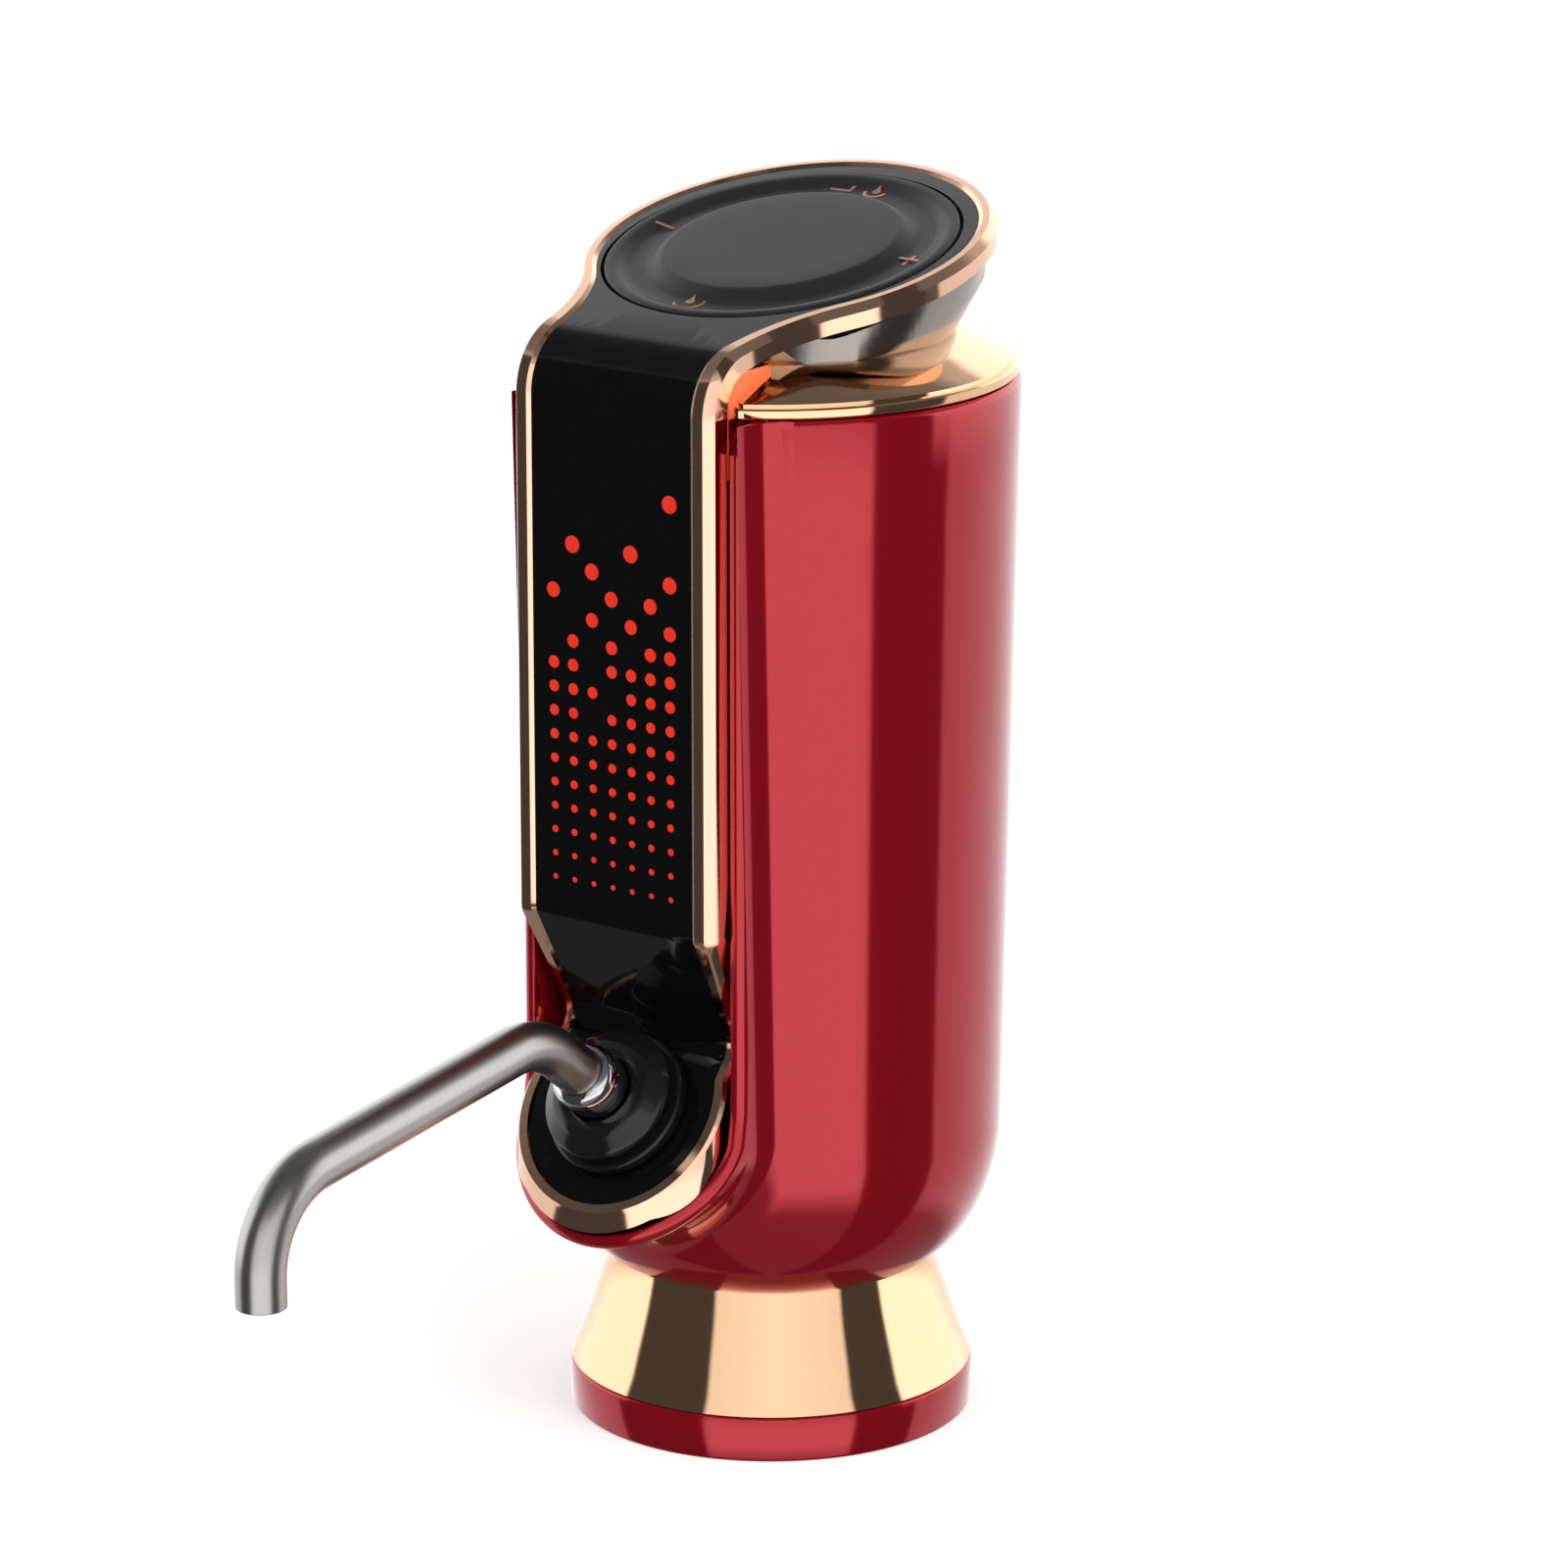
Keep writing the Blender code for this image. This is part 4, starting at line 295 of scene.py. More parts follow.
def mottle(made, size_mm, colours, rough=None, bump_mm=0.0):
    """Fine uneven colour, gloss and relief, with grains of a real size in millimetres."""
    tree = made.node_tree
    shader = shader_of(made)
    place = add_node(tree, "ShaderNodeTexCoord")
    grain = add_node(
        tree,
        "ShaderNodeTexNoise",
        {"Scale": 1 / (size_mm * MM), "Detail": GRAIN_DETAIL},
        {"Vector": place.outputs["Object"]},
    )
    stops = [(GRAIN_LOW, linear(colours[0])), (GRAIN_HIGH, linear(colours[1]))]
    tree.links.new(ramp(tree, grain.outputs["Fac"], stops), shader.inputs["Base Color"])
    if rough:
        level = add_node(
            tree,
            "ShaderNodeMapRange",
            {"From Min": GRAIN_LOW, "From Max": GRAIN_HIGH, "To Min": rough[0], "To Max": rough[1]},
            {"Value": grain.outputs["Fac"]},
        )
        tree.links.new(level.outputs["Result"], shader.inputs["Roughness"])
    if bump_mm:
        relief = add_node(
            tree, "ShaderNodeBump", {"Distance": bump_mm * MM}, {"Height": grain.outputs["Fac"]}
        )
        tree.links.new(relief.outputs["Normal"], shader.inputs["Normal"])


# %% The outside finishes
# Candy lacquer: red tint over bright base metal, then a clear coat as smooth as glass
red_lacquer = finish(
    "candy_red_lacquer", "b20d22", 0.12, 0.6, Coat_Weight=0.6, Coat_Roughness=0.02, Coat_IOR=1.5
)
mottle(red_lacquer, 1.5, ("b10c21", "b30e23"))
# Rose gold plating on moulded trim: pink-brown metal, almost a mirror
rose_gold = finish("rose_gold_plating", "ffcfb0", 0.08, 1.0)
mottle(rose_gold, 0.8, ("fecdae", "ffd0b2"), (0.07, 0.085))
# Pale gold plating on the foot and the rings: yellower and a little glossier
pale_gold = finish("pale_gold_plating", "ffcfa6", 0.06, 1.0)
mottle(pale_gold, 0.9, ("fecea5", "ffd0a7"), (0.058, 0.064))
# Deep orange mirror in the notch: painted reflection, the colour light takes after bouncing between the
# gold faces there
painted_interreflection = finish("gold_painted_interreflection", "ed6f46", 0.12, 1.0)
mottle(painted_interreflection, 0.9, ("ea6c44", "f07248"), (0.1, 0.14))
# Dark mirror chrome on the neck
dark_chrome = finish("dark_mirror_chrome", "a49c96", 0.2, 1.0)
mottle(dark_chrome, 0.8, ("a29a94", "a69e98"), (0.18, 0.22))
# Bright chrome on the spout's collar
bright_chrome = finish("bright_chrome", "d8d8da", 0.05, 1.0)
mottle(bright_chrome, 0.8, ("d4d4d6", "dcdcde"), (0.04, 0.07))
# Piano black: deep gloss acrylic of the display face
piano_black = finish("piano_black_acrylic", "0a0a0b", 0.06, Specular_IOR_Level=0.27)
mottle(piano_black, 1.2, ("090909", "0c0c0d"), (0.05, 0.08))
# Soft-touch black on the control pad: fine matt skin that scatters light evenly
soft_black = finish("soft_touch_black", "212122", 0.46)
mottle(soft_black, 0.12, ("202021", "232324"), (0.43, 0.49), 0.002)
# Black moulding, glossier, for the spout's boss
gloss_black = finish("gloss_black_moulding", "141415", 0.12)
mottle(gloss_black, 0.6, ("121213", "171718"), (0.10, 0.16))
# Bead-blasted stainless tube: dull satin, with a fine even grain
satin_steel = finish("satin_stainless_steel", "bcbab7", 0.25, 1.0)
mottle(satin_steel, 0.10, ("b9b7b4", "bfbdba"), (0.27, 0.33), 0.001)
# Rose gold foil that is stamped on the pad for its signs
sign_foil = finish("rose_gold_foil", "b98a72", 0.3, 0.6)
mottle(sign_foil, 0.2, ("b4856c", "be907a"), (0.25, 0.4))
# Red lamps behind tinted holes: they glow by themselves
lamp_red = finish("lit_red_lamp", "300603", 0.5, Emission_Strength=0.9)
shader_of(lamp_red).inputs["Emission Color"].default_value = linear("eb2810")
mottle(lamp_red, 0.4, ("2c0502", "340704"), (0.45, 0.6))
print("outside finishes:", 12)

# %% [markdown]
# The inside finishes are for pieces that only show from below, through the charging port or when
# the model is taken apart. Their CAD solids already have the right shape, so they keep it and
# only get a real surface.

# %% The inside finishes
silicone = finish("food_silicone", "cfcfca", 0.45, Subsurface_Weight=0.2)
mottle(silicone, 0.5, ("c8c8c2", "d6d6d2"), (0.4, 0.55), 0.01)
black_rubber = finish("moulded_black_rubber", "161616", 0.7)
mottle(black_rubber, 0.3, ("131313", "1b1b1b"), (0.6, 0.8), 0.01)
black_abs = finish("moulded_black_abs", "1d1d1f", 0.5)
mottle(black_abs, 0.25, ("1a1a1c", "222224"), (0.42, 0.58), 0.01)
white_abs = finish("moulded_white_abs", "dcdcd8", 0.4)
mottle(white_abs, 0.25, ("d6d6d2", "e0e0dc"), (0.35, 0.5), 0.008)
solder_mask = finish("green_solder_mask", "0e5c34", 0.35)
mottle(solder_mask, 0.6, ("0c5430", "12663c"), (0.3, 0.45), 0.01)
cell_wrap = finish("shrink_wrap", "1a4c9c", 0.35)
mottle(cell_wrap, 1.0, ("184890", "1e54a8"), (0.3, 0.45), 0.02)
zinc_plate = finish("zinc_plated_steel", "b8b8ba", 0.35, 1.0)
mottle(zinc_plate, 0.5, ("b0b0b2", "c0c0c4"), (0.3, 0.45), 0.004)

INSIDE = [
    (black_abs, ["bottle_socket", "chassis", "display_carrier", "pad_yoke", "nozzle_socket"]),
    (black_abs, ["motor_end_cap", "aeration_chamber"]),
    (white_abs, ["light_diffuser", "pad_gimbal", "pump_head", "pump_housing", "check_valve_body"]),
    (solder_mask, ["led_board", "button_board", "main_board", "charge_board"]),
    (cell_wrap, ["battery"]),
    (silicone, ["wine_hose", "air_hose"]),
    (black_rubber, ["bottle_seal", "spout_seal_ring", "pump_diaphragm", "check_valve_poppet"]),
    (satin_steel, ["wine_pipe", "air_pipe"]),
    (zinc_plate, ["motor_can", "pump_rotor", "charging_socket", "switch_plus", "switch_minus"]),
    (zinc_plate, ["switch_front", "switch_back"]),
    (zinc_plate, ["chassis_screw_1", "chassis_screw_2", "chassis_screw_3"]),
]
for coat, node_names in INSIDE:
    for node_name in node_names:
        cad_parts[node_name].data.materials.clear()
        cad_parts[node_name].data.materials.append(coat)
print("CAD nodes kept with a finish:", sum(len(node_names) for coat, node_names in INSIDE))

# %% [markdown]
# Most pieces are round, as if turned on a lathe. A circle is drawn out ring by ring: extruded,
# moved and scaled to the next radius. Its corners are rounded in the profile itself or with a
# Bevel, because a real edge always catches a line of light.


# %% Lathe helper
# In metres: points this close are merged, and the radius that stands for none
MERGE = 0.000004
TINY = 1e-5
SHARP_DEGREES = 30


def start_alone():
    """Object mode with nothing selected, so that an operator touches only the new piece."""
    if bpy.context.mode != "OBJECT":
        bpy.ops.object.mode_set(mode="OBJECT")
    bpy.ops.object.select_all(action="DESELECT")


def pick(piece):
    """Only this piece selected and active, so that the next operator works on it."""
    start_alone()
    piece.select_set(True)
    bpy.context.view_layer.objects.active = piece


def edit_all():
    """Edit mode, with all of the active piece selected."""
    bpy.ops.object.mode_set(mode="EDIT")
    bpy.ops.mesh.select_all(action="SELECT")


def face_out(merge=False):
    """Turn the faces of the active piece outwards, after its doubles are merged if need be."""
    edit_all()
    if merge:
        bpy.ops.mesh.remove_doubles(threshold=MERGE)
    bpy.ops.mesh.normals_make_consistent(inside=False)
    bpy.ops.object.mode_set(mode="OBJECT")


def place_in_mesh():
    """Put the active piece's move, turn and size in its mesh."""
    bpy.ops.object.transform_apply(location=True, rotation=True, scale=True)


def close_up(piece, name, coat, soft_degrees=35):
    """Merged, facing out, smooth where it is soft, named and coated, with its place in its mesh."""
    face_out(merge=True)
    place_in_mesh()
    piece.name = name
    piece.data.name = name
    piece.data.materials.clear()
    piece.data.materials.append(coat)
    bpy.ops.object.shade_smooth_by_angle(angle=math.radians(soft_degrees))
    print(name, len(piece.data.polygons), "faces")
    return piece


def round_edges(piece, width_mm, segments=3):
    """A Bevel on every sharp edge of the active piece, applied."""
    step = piece.modifiers.new("rounded_edges", "BEVEL")
    step.width = width_mm * MM
    step.segments = segments
    step.limit_method = "ANGLE"
    step.angle_limit = math.radians(SHARP_DEGREES)
    step.use_clamp_overlap = True
    bpy.ops.object.modifier_apply(modifier=step.name)


def turned(name, profile_mm, coat, edge_mm=0.0, sides=144, soft_degrees=35):
    """A round piece from (radius, height) points: its circle is drawn out ring by ring.

    A ring of no size can't be drawn out, so it has a tiny radius until it is pulled to the axis.
    """
    start_alone()
    radius, height = profile_mm[0][0] * MM, profile_mm[0][1] * MM
    radius = max(radius, TINY)
    bpy.ops.mesh.primitive_circle_add(vertices=sides, radius=radius, enter_editmode=True)
    piece = bpy.context.object
    bpy.ops.transform.translate(value=(0, 0, height))
    for next_radius, next_height in profile_mm[1:]:
        wide = max(next_radius * MM, TINY)
        high = next_height * MM
        bpy.ops.mesh.extrude_region_move(TRANSFORM_OT_translate={"value": (0, 0, high - height)})
        bpy.ops.transform.resize(value=(wide / radius, wide / radius, 1), center_override=(0, 0, high))
        radius, height = wide, high
    bpy.ops.object.mode_set(mode="OBJECT")
    for vertex in piece.data.vertices:
        if math.hypot(vertex.co.x, vertex.co.y) < 2 * TINY:
            vertex.co.x = vertex.co.y = 0
    face_out(merge=True)
    if edge_mm:
        round_edges(piece, edge_mm)
    return close_up(piece, name, coat, soft_degrees)


def stand_in(piece, matrix):
    """Move a finished piece into a frame of its own."""
    pick(piece)
    piece.matrix_world = matrix @ piece.matrix_world
    place_in_mesh()


def belongs(piece, body, slot, *nodes):
    """The piece rides on a body and stands for CAD nodes, which are hidden; the slot is not used."""
    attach(piece, body)
    if nodes:
        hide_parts(*nodes)


# %% [markdown]
# The foot: a red ring that stands on the table, and a gold skirt like a trumpet's bell that
# rises from it. The skirt's curve is drawn out in many short rings, so that its reflections
# stretch smoothly.

# %% Foot ring and skirt
foot = turned(
    "lacquer_foot",
    [(21.4, 5.6), (25.0, 5.6), (25.0, 0.0), (21.0, 0.0), (21.0, 5.0), (21.4, 5.6)],
    red_lacquer,
    0.35,
)
belongs(foot, "housing", "red_lacquer", "foot_ring")

SKIRT_OUTSIDE = [(24.9, 5.75), (24.75, 6.2), (24.1, 7.8), (23.45, 9.4), (22.85, 11.1), (22.25, 12.8)]
SKIRT_OUTSIDE += [(21.72, 14.4), (21.2, 16.0), (20.72, 17.6), (20.35, 19.2), (20.1, 20.8), (20.0, 22.4)]
SKIRT_OUTSIDE += [(20.0, 23.9)]
SKIRT_WALL = 1.6
skirt_inside = [(radius - SKIRT_WALL, height) for radius, height in reversed(SKIRT_OUTSIDE)]
skirt = turned("gold_skirt", SKIRT_OUTSIDE + skirt_inside + SKIRT_OUTSIDE[:1], pale_gold, 0.0, 160)
belongs(skirt, "housing", "pale_gold", "skirt")

# %% [markdown]
# The gold rings at the top of the body. The lower one is a narrow step and the upper one a
# rounded shoulder. The display's ribbon passes in front of both, so a box-shaped notch is cut
# through their fronts.


# %% Cutting helpers
def box_cutter(low, high):
    """A plain box between two corners in millimetres, to cut with."""
    start_alone()
    bpy.ops.mesh.primitive_cube_add(size=1)
    cutter = bpy.context.object
    middle = (Vector(low) + Vector(high)) / 2
    cutter.scale = (Vector(high) - Vector(low)) * MM
    cutter.location = middle * MM
    place_in_mesh()
    return cutter


def carve(piece, cutter, operation="DIFFERENCE"):
    """Cut one closed piece with another, and take the cutter away."""
    pick(piece)
    step = piece.modifiers.new("cut", "BOOLEAN")
    step.operation = operation
    step.solver = "MANIFOLD"
    step.object = cutter
    bpy.ops.object.modifier_apply(modifier=step.name)
    shape = bmesh.new()
    shape.from_mesh(piece.data)
    closed = all(edge.is_manifold for edge in shape.edges)
    print(operation.lower(), piece.name, round(shape.calc_volume() * 1e6, 3), "cm3, closed:", closed)
    shape.free()
    bpy.data.objects.remove(cutter)


def soften(piece, degrees=35):
    """Smooth shading that keeps sharp corners."""
    pick(piece)
    bpy.ops.object.shade_smooth_by_angle(angle=math.radians(degrees))


# %% Step ring and shoulder
NOTCH_HALF = 14.72
NOTCH_FRONT = -45
NOTCH_BACK = -20.6
NOTCH_LOW = (-NOTCH_HALF, NOTCH_FRONT, 125)
NOTCH_HIGH = (NOTCH_HALF, NOTCH_BACK, 150)

step_ring = turned(
    "gold_step_ring",
    [(29.98, 131.2), (30.0, 131.3), (30.0, 132.1), (29.8, 132.3), (26.6, 132.3), (26.6, 128.2)]
    + [(28.1, 128.2), (28.1, 131.1), (29.9, 131.1), (29.98, 131.2)],
    pale_gold,
)
carve(step_ring, box_cutter(NOTCH_LOW, NOTCH_HIGH))
soften(step_ring)
belongs(step_ring, "housing", "pale_gold", "step_ring")

SHOULDER = [(29.2, 132.25), (29.15, 132.7), (28.6, 133.05), (27.7, 133.5), (26.7, 134.0)]
SHOULDER += [(25.6, 134.55), (24.6, 135.05), (23.7, 135.45), (22.95, 135.75), (22.4, 135.9)]
SHOULDER += [(21.5, 135.9), (21.5, 132.25), (29.2, 132.25)]
shoulder = turned("gold_shoulder_ring", SHOULDER, pale_gold, 0.0, 160)
carve(shoulder, box_cutter(NOTCH_LOW, NOTCH_HIGH))
soften(shoulder)
belongs(shoulder, "housing", "pale_gold", "shoulder_ring")

# %% [markdown]
# Two small walls close the notch at each side, from the ribbon's edge back into the rings. Their deep
# orange is painted reflection:
# it stands for the light bounced between the gold faces, and gives the notch its orange glow.

# %% Return walls
WALL_INSIDE = 14.1
WALL_OUTSIDE = 14.64
WALL_ROUND = 0.12
for side in (-1, 1):
    left, right = sorted((WALL_INSIDE * side, WALL_OUTSIDE * side))
    wall = box_cutter((left, -28.0, 124), (right, -19.5, 136.6))
    round_edges(wall, WALL_ROUND)
    # Their orange finish is painted reflection, the light bounced between the gold faces
    close_up(wall, "notch_wall_" + ("right" if side > 0 else "left"), painted_interreflection)
    belongs(wall, "housing", "rose_gold")

# %% [markdown]
# The body is a tube that narrows a little towards the bottom and then curves in under itself.
# Its front opens for the display. The opening's edge is a raised surround, which is made next,
# so here the opening is cut with a block in the shape of a long U.


# %% Body skin
BOTTOM_RADIUS = 16.33
BOTTOM_WIDTH = 12.12
BOTTOM_HEIGHT = 19.0
CURVE_TOP = 38.0
BODY_TOP = 130.9
TOP_RADIUS = 30.3
CURVE_RADIUS = BOTTOM_RADIUS + BOTTOM_WIDTH
HOLE_RADIUS = 20.4
BODY_WALL = 1.8


def body_line(inset=0.0, steps=26):
    """(radius, height) points up the body's side, from the hole in its bottom to its top."""
    wide, tall = BOTTOM_WIDTH - inset, BOTTOM_HEIGHT - inset
    first = math.acos((HOLE_RADIUS - BOTTOM_RADIUS) / wide)
    points = []
    for i in range(steps + 1):
        angle = first * (1 - i / steps)
        points.append((BOTTOM_RADIUS + wide * math.cos(angle), CURVE_TOP - tall * math.sin(angle)))
    for i in range(1, 9):
        share = i / 8
        radius = CURVE_RADIUS - inset + (TOP_RADIUS - CURVE_RADIUS) * share
        points.append((radius, CURVE_TOP + (BODY_TOP - CURVE_TOP) * share))
    return points


outside = body_line()
TOP_ROUND = 0.9
outside[-1:] = [
    (TOP_RADIUS - TOP_ROUND * (1 - math.cos(a)), BODY_TOP - TOP_ROUND * (1 - math.sin(a)))
    for a in (math.radians(18 * i) for i in range(6))
]
body_profile = outside + body_line(BODY_WALL)[::-1] + outside[:1]
body_skin = turned("lacquer_body", body_profile, red_lacquer, 0.0, 192)

U_CENTRE = 43.0
U_SIDE_STEPS = 24
U_ROUND_STEPS = 48


def u_outline(half_width, depth, top=BODY_TOP):
    """(x, z) points of the U: down the right side, round under the spout and up the left."""
    drop = U_CENTRE - top
    points = [(half_width, top + drop * i / U_SIDE_STEPS) for i in range(U_SIDE_STEPS)]
    for i in range(U_ROUND_STEPS + 1):
        angle = math.pi * i / U_ROUND_STEPS
        points.append((half_width * math.cos(angle), U_CENTRE - depth * math.sin(angle)))
    return points + [(-x, z) for x, z in reversed(points[:U_SIDE_STEPS])]


def drawn_out(outline, push):
    """A closed block: a flat outline of (x, y, z) points in millimetres, pushed out one way."""
    start_alone()
    bpy.ops.mesh.primitive_circle_add(vertices=len(outline), radius=0.01, fill_type="NGON")
    block = bpy.context.object
    for vertex, point in zip(block.data.vertices, outline):
        vertex.co = [value * MM for value in point]
    edit_all()
    bpy.ops.mesh.extrude_region_move(TRANSFORM_OT_translate={"value": [value * MM for value in push]})
    face_out()
    return block


OPENING_FRONT = -60
OPENING_BACK = -14.0
OPENING_HALF = 17.2
OPENING_DEPTH = 13.9
OPENING_TOP = BODY_TOP + 8
SLOT_ROUND = 1.9
opening_line = u_outline(OPENING_HALF, OPENING_DEPTH, OPENING_TOP)
opening = [(x, OPENING_FRONT, z) for x, z in opening_line]
carve(body_skin, drawn_out(opening, (0, OPENING_BACK - OPENING_FRONT, 0)))
charge_slot = box_cutter((-4.8, 20, 40.05), (4.8, 40, 43.95))
round_edges(charge_slot, SLOT_ROUND, 6)
carve(body_skin, charge_slot)
soften(body_skin, 50)
belongs(body_skin, "housing", "red_lacquer", "body_shell")

# %% [markdown]
# The raised surround starts inside the opening, comes forward, turns over a rounded rim and runs
# down into the body in a wide hollow curve. The hollow is what a ball would leave if it rolled
# along the corner between wall and body, so that is how its points are found: at each place
# round the U the ball is pushed forward until it just touches the body.


# %% Bent grid helper
def bent_grid(columns, rows, place):
    """A flat grid primitive whose points are moved to place(column, row), in millimetres."""
    start_alone()
    bpy.ops.mesh.primitive_grid_add(x_subdivisions=columns, y_subdivisions=rows, size=0.1)
    piece = bpy.context.object
    for index, vertex in enumerate(piece.data.vertices):
        vertex.co = Vector(place(index % (columns + 1), index // (columns + 1))) * MM
    return piece


def cap_open_ends(piece):
    """Fill the open edges of a tube, so that it is a closed solid."""
    pick(piece)
    edit_all()
    bpy.ops.mesh.remove_doubles(threshold=MERGE)
    bpy.ops.mesh.select_all(action="DESELECT")
    bpy.ops.mesh.select_mode(type="EDGE")
    bpy.ops.mesh.select_non_manifold()
    bpy.ops.mesh.edge_face_add()
    bpy.ops.mesh.select_mode(type="VERT")


# %% Surround
PLATE_LEAN = math.radians(52)
PLATE_Y, PLATE_Z = -30.4, 45.6
PLATE_MIDDLE = Vector((PLATE_Y, PLATE_Z))
PLATE_DOWN = Vector((-math.cos(PLATE_LEAN), -math.sin(PLATE_LEAN)))
PLATE_OUT = Vector((-math.sin(PLATE_LEAN), math.cos(PLATE_LEAN)))
RIM_FRONT = -28.2
TOP_CORNER = 4.0
CHIN_SET = -3.6
KNEE_BLEND = 1.2
BALL = 7.5
BALL_FRONT, BALL_BACK = -60.0, -15.0
BALL_TRIES = 34
body_points = body_line(steps=60)


def body_gap(spot):
    """Distance in millimetres from a point to the body's surface, and the nearest point."""
    out = math.hypot(spot[0], spot[1])
    near = None
    for (r0, z0), (r1, z1) in zip(body_points, body_points[1:]):
        run = Vector((r1 - r0, z1 - z0))
        share = max(0, min(1, Vector((out - r0, spot[2] - z0)).dot(run) / run.length_squared))
        foot_point = Vector((r0, z0)) + run * share
        gap = (Vector((out, spot[2])) - foot_point).length
        if near is None or gap < near[0]:
            near = (gap, foot_point)
    radius, tall = near[1]
    return near[0], Vector((spot[0] * radius / out, spot[1] * radius / out, tall))


def rim_front(z):
    """How far forward the rim stands at a height: a round top corner, upright, then sloping."""
    over = z - (BODY_TOP - TOP_CORNER)
    if over > 0:
        return RIM_FRONT + TOP_CORNER - math.sqrt(max(TOP_CORNER**2 - over**2, 0.0))
    start = PLATE_MIDDLE + PLATE_OUT * CHIN_SET
    slope = start.x + (z - start.y) / math.tan(PLATE_LEAN)
    gap = (slope - RIM_FRONT) / KNEE_BLEND
    # A smooth minimum of the two, so the knee is rounded
    if gap > 8:
        return RIM_FRONT
    if gap < -8:
        return slope
    if gap > 0:
        return RIM_FRONT - KNEE_BLEND * math.log(1 + math.exp(-gap))
    return slope - KNEE_BLEND * math.log(1 + math.exp(gap))


def rolled(x, z, nx, nz):
    """Centre and touching point of the ball that rests on the wall at (x, z) and on the body."""
    low, high = BALL_FRONT, BALL_BACK
    for _ in range(BALL_TRIES):
        middle = (low + high) / 2
        centre = Vector((x + nx * BALL, middle, z + nz * BALL))
        if body_gap(centre)[0] > BALL:
            low = middle
        else:
            high = middle
    centre = Vector((x + nx * BALL, low, z + nz * BALL))
    return centre, body_gap(centre)[1]


WALL_HALF = 16.7
WALL_DEPTH = 13.4
CHEEK_WALL = 1.9
RIM_ROUND = 1.2
RIM_INNER_ROUND = 0.3
BALL_STEPS = 14
RIM_BACK = 2.2
INSIDE_BACK, INSIDE_MIDDLE = -14.5, -21.9
FEATHER_STEPS = (0.5, 1.0)
FEATHER_PROUD = 0.015
FEATHER_WALL = 0.5
TOUCH_WALL = 0.8
FOOT_BACK, FOOT_INWARD = -15.0, 0.2
surround_rows = []
for x, z in u_outline(WALL_HALF, WALL_DEPTH):
    if z > U_CENTRE:
        nx, nz = math.copysign(1, x), 0.0
    else:
        nx, nz = x / WALL_HALF**2, (z - U_CENTRE) / WALL_DEPTH**2
        size = math.hypot(nx, nz)
        nx, nz = nx / size, nz / size
    front = rim_front(z)
    centre, touch = rolled(x, z, nx, nz)
    inner_x, inner_z = x - nx * CHEEK_WALL, z - nz * CHEEK_WALL
    row = [(inner_x, y, inner_z) for y in (INSIDE_BACK, INSIDE_MIDDLE, front + RIM_BACK)]
    # The rim: a small inner rounding, a narrow flat and a larger outer rounding
    for angle in (0, 30, 60, 90):
        turn_by = math.radians(angle)
        inward = CHEEK_WALL - RIM_INNER_ROUND * (1 - math.cos(turn_by))
        back = RIM_INNER_ROUND * (1 - math.sin(turn_by))
        row.append((x - nx * inward, front + back, z - nz * inward))
    for angle in (90, 72, 54, 36, 18, 0):
        turn_by = math.radians(angle)
        inward = RIM_ROUND * (1 - math.cos(turn_by))
        row.append((x - nx * inward, front + RIM_ROUND * (1 - math.sin(turn_by)), z - nz * inward))
    first = Vector((x, centre.y, z)) - centre
    last = touch - centre
    for i in range(BALL_STEPS + 1):
        arm = first.slerp(last, i / BALL_STEPS)
        row.append(tuple(centre + arm.normalized() * BALL))
    # A feather that lies on the body, then a return below its skin
    ahead = (touch - Vector(row[-2])).normalized()
    for step in FEATHER_STEPS:
        near = body_gap(touch + ahead * step)[1]
        row.append(tuple(near + Vector((near.x, near.y, 0)).normalized() * FEATHER_PROUD))
    out = Vector((touch.x, touch.y, 0)).normalized()
    row.append(tuple(Vector(row[-1]) - out * FEATHER_WALL))
    row.append(tuple(touch - out * TOUCH_WALL))
    row.append((x - nx * FOOT_INWARD, FOOT_BACK, z - nz * FOOT_INWARD))
    surround_rows.append(row + row[:1])
surround = bent_grid(
    len(surround_rows[0]) - 1,
    len(surround_rows) - 1,
    lambda column, row: surround_rows[row][column],
)
cap_open_ends(surround)
close_up(surround, "lacquer_surround", red_lacquer, 40)
belongs(surround, "housing", "red_lacquer")

# %% [markdown]
# The ribbon. One strip covers the cap, bends over the top edge, runs down the front, tucks in
# under the display and ends in the round plate that carries the spout. All of its pieces are
# drawn flat, with x across and u along the strip, and then bent to this side line. The bend
# is a formula, so the trim and the faces follow exactly the same line.


# %% Side line of the ribbon
CAP_LEAN = math.radians(13.3)
CAP_Y, CAP_Z = 3.3, 146.2
CAP_MIDDLE = Vector((CAP_Y, CAP_Z))
CAP_AHEAD = Vector((-math.cos(CAP_LEAN), -math.sin(CAP_LEAN)))
HOOK_LEAN = math.radians(28.2)
HOOK_DOWN = Vector((math.sin(HOOK_LEAN), -math.cos(HOOK_LEAN)))
PANEL_FRONT = -31.8
PANEL_FOOT = Vector((PANEL_FRONT, 68.3))
TOP_BEND = 8.0
CREASE_BEND = 3.0
HOOK_BEND = 3.0


def meeting(first, ahead, second, onward):
    """Where two lines of the side view cross."""
    gap = second - first
    turn_by = ahead.x * onward.y - ahead.y * onward.x
    return first + ahead * ((gap.x * onward.y - gap.y * onward.x) / turn_by)


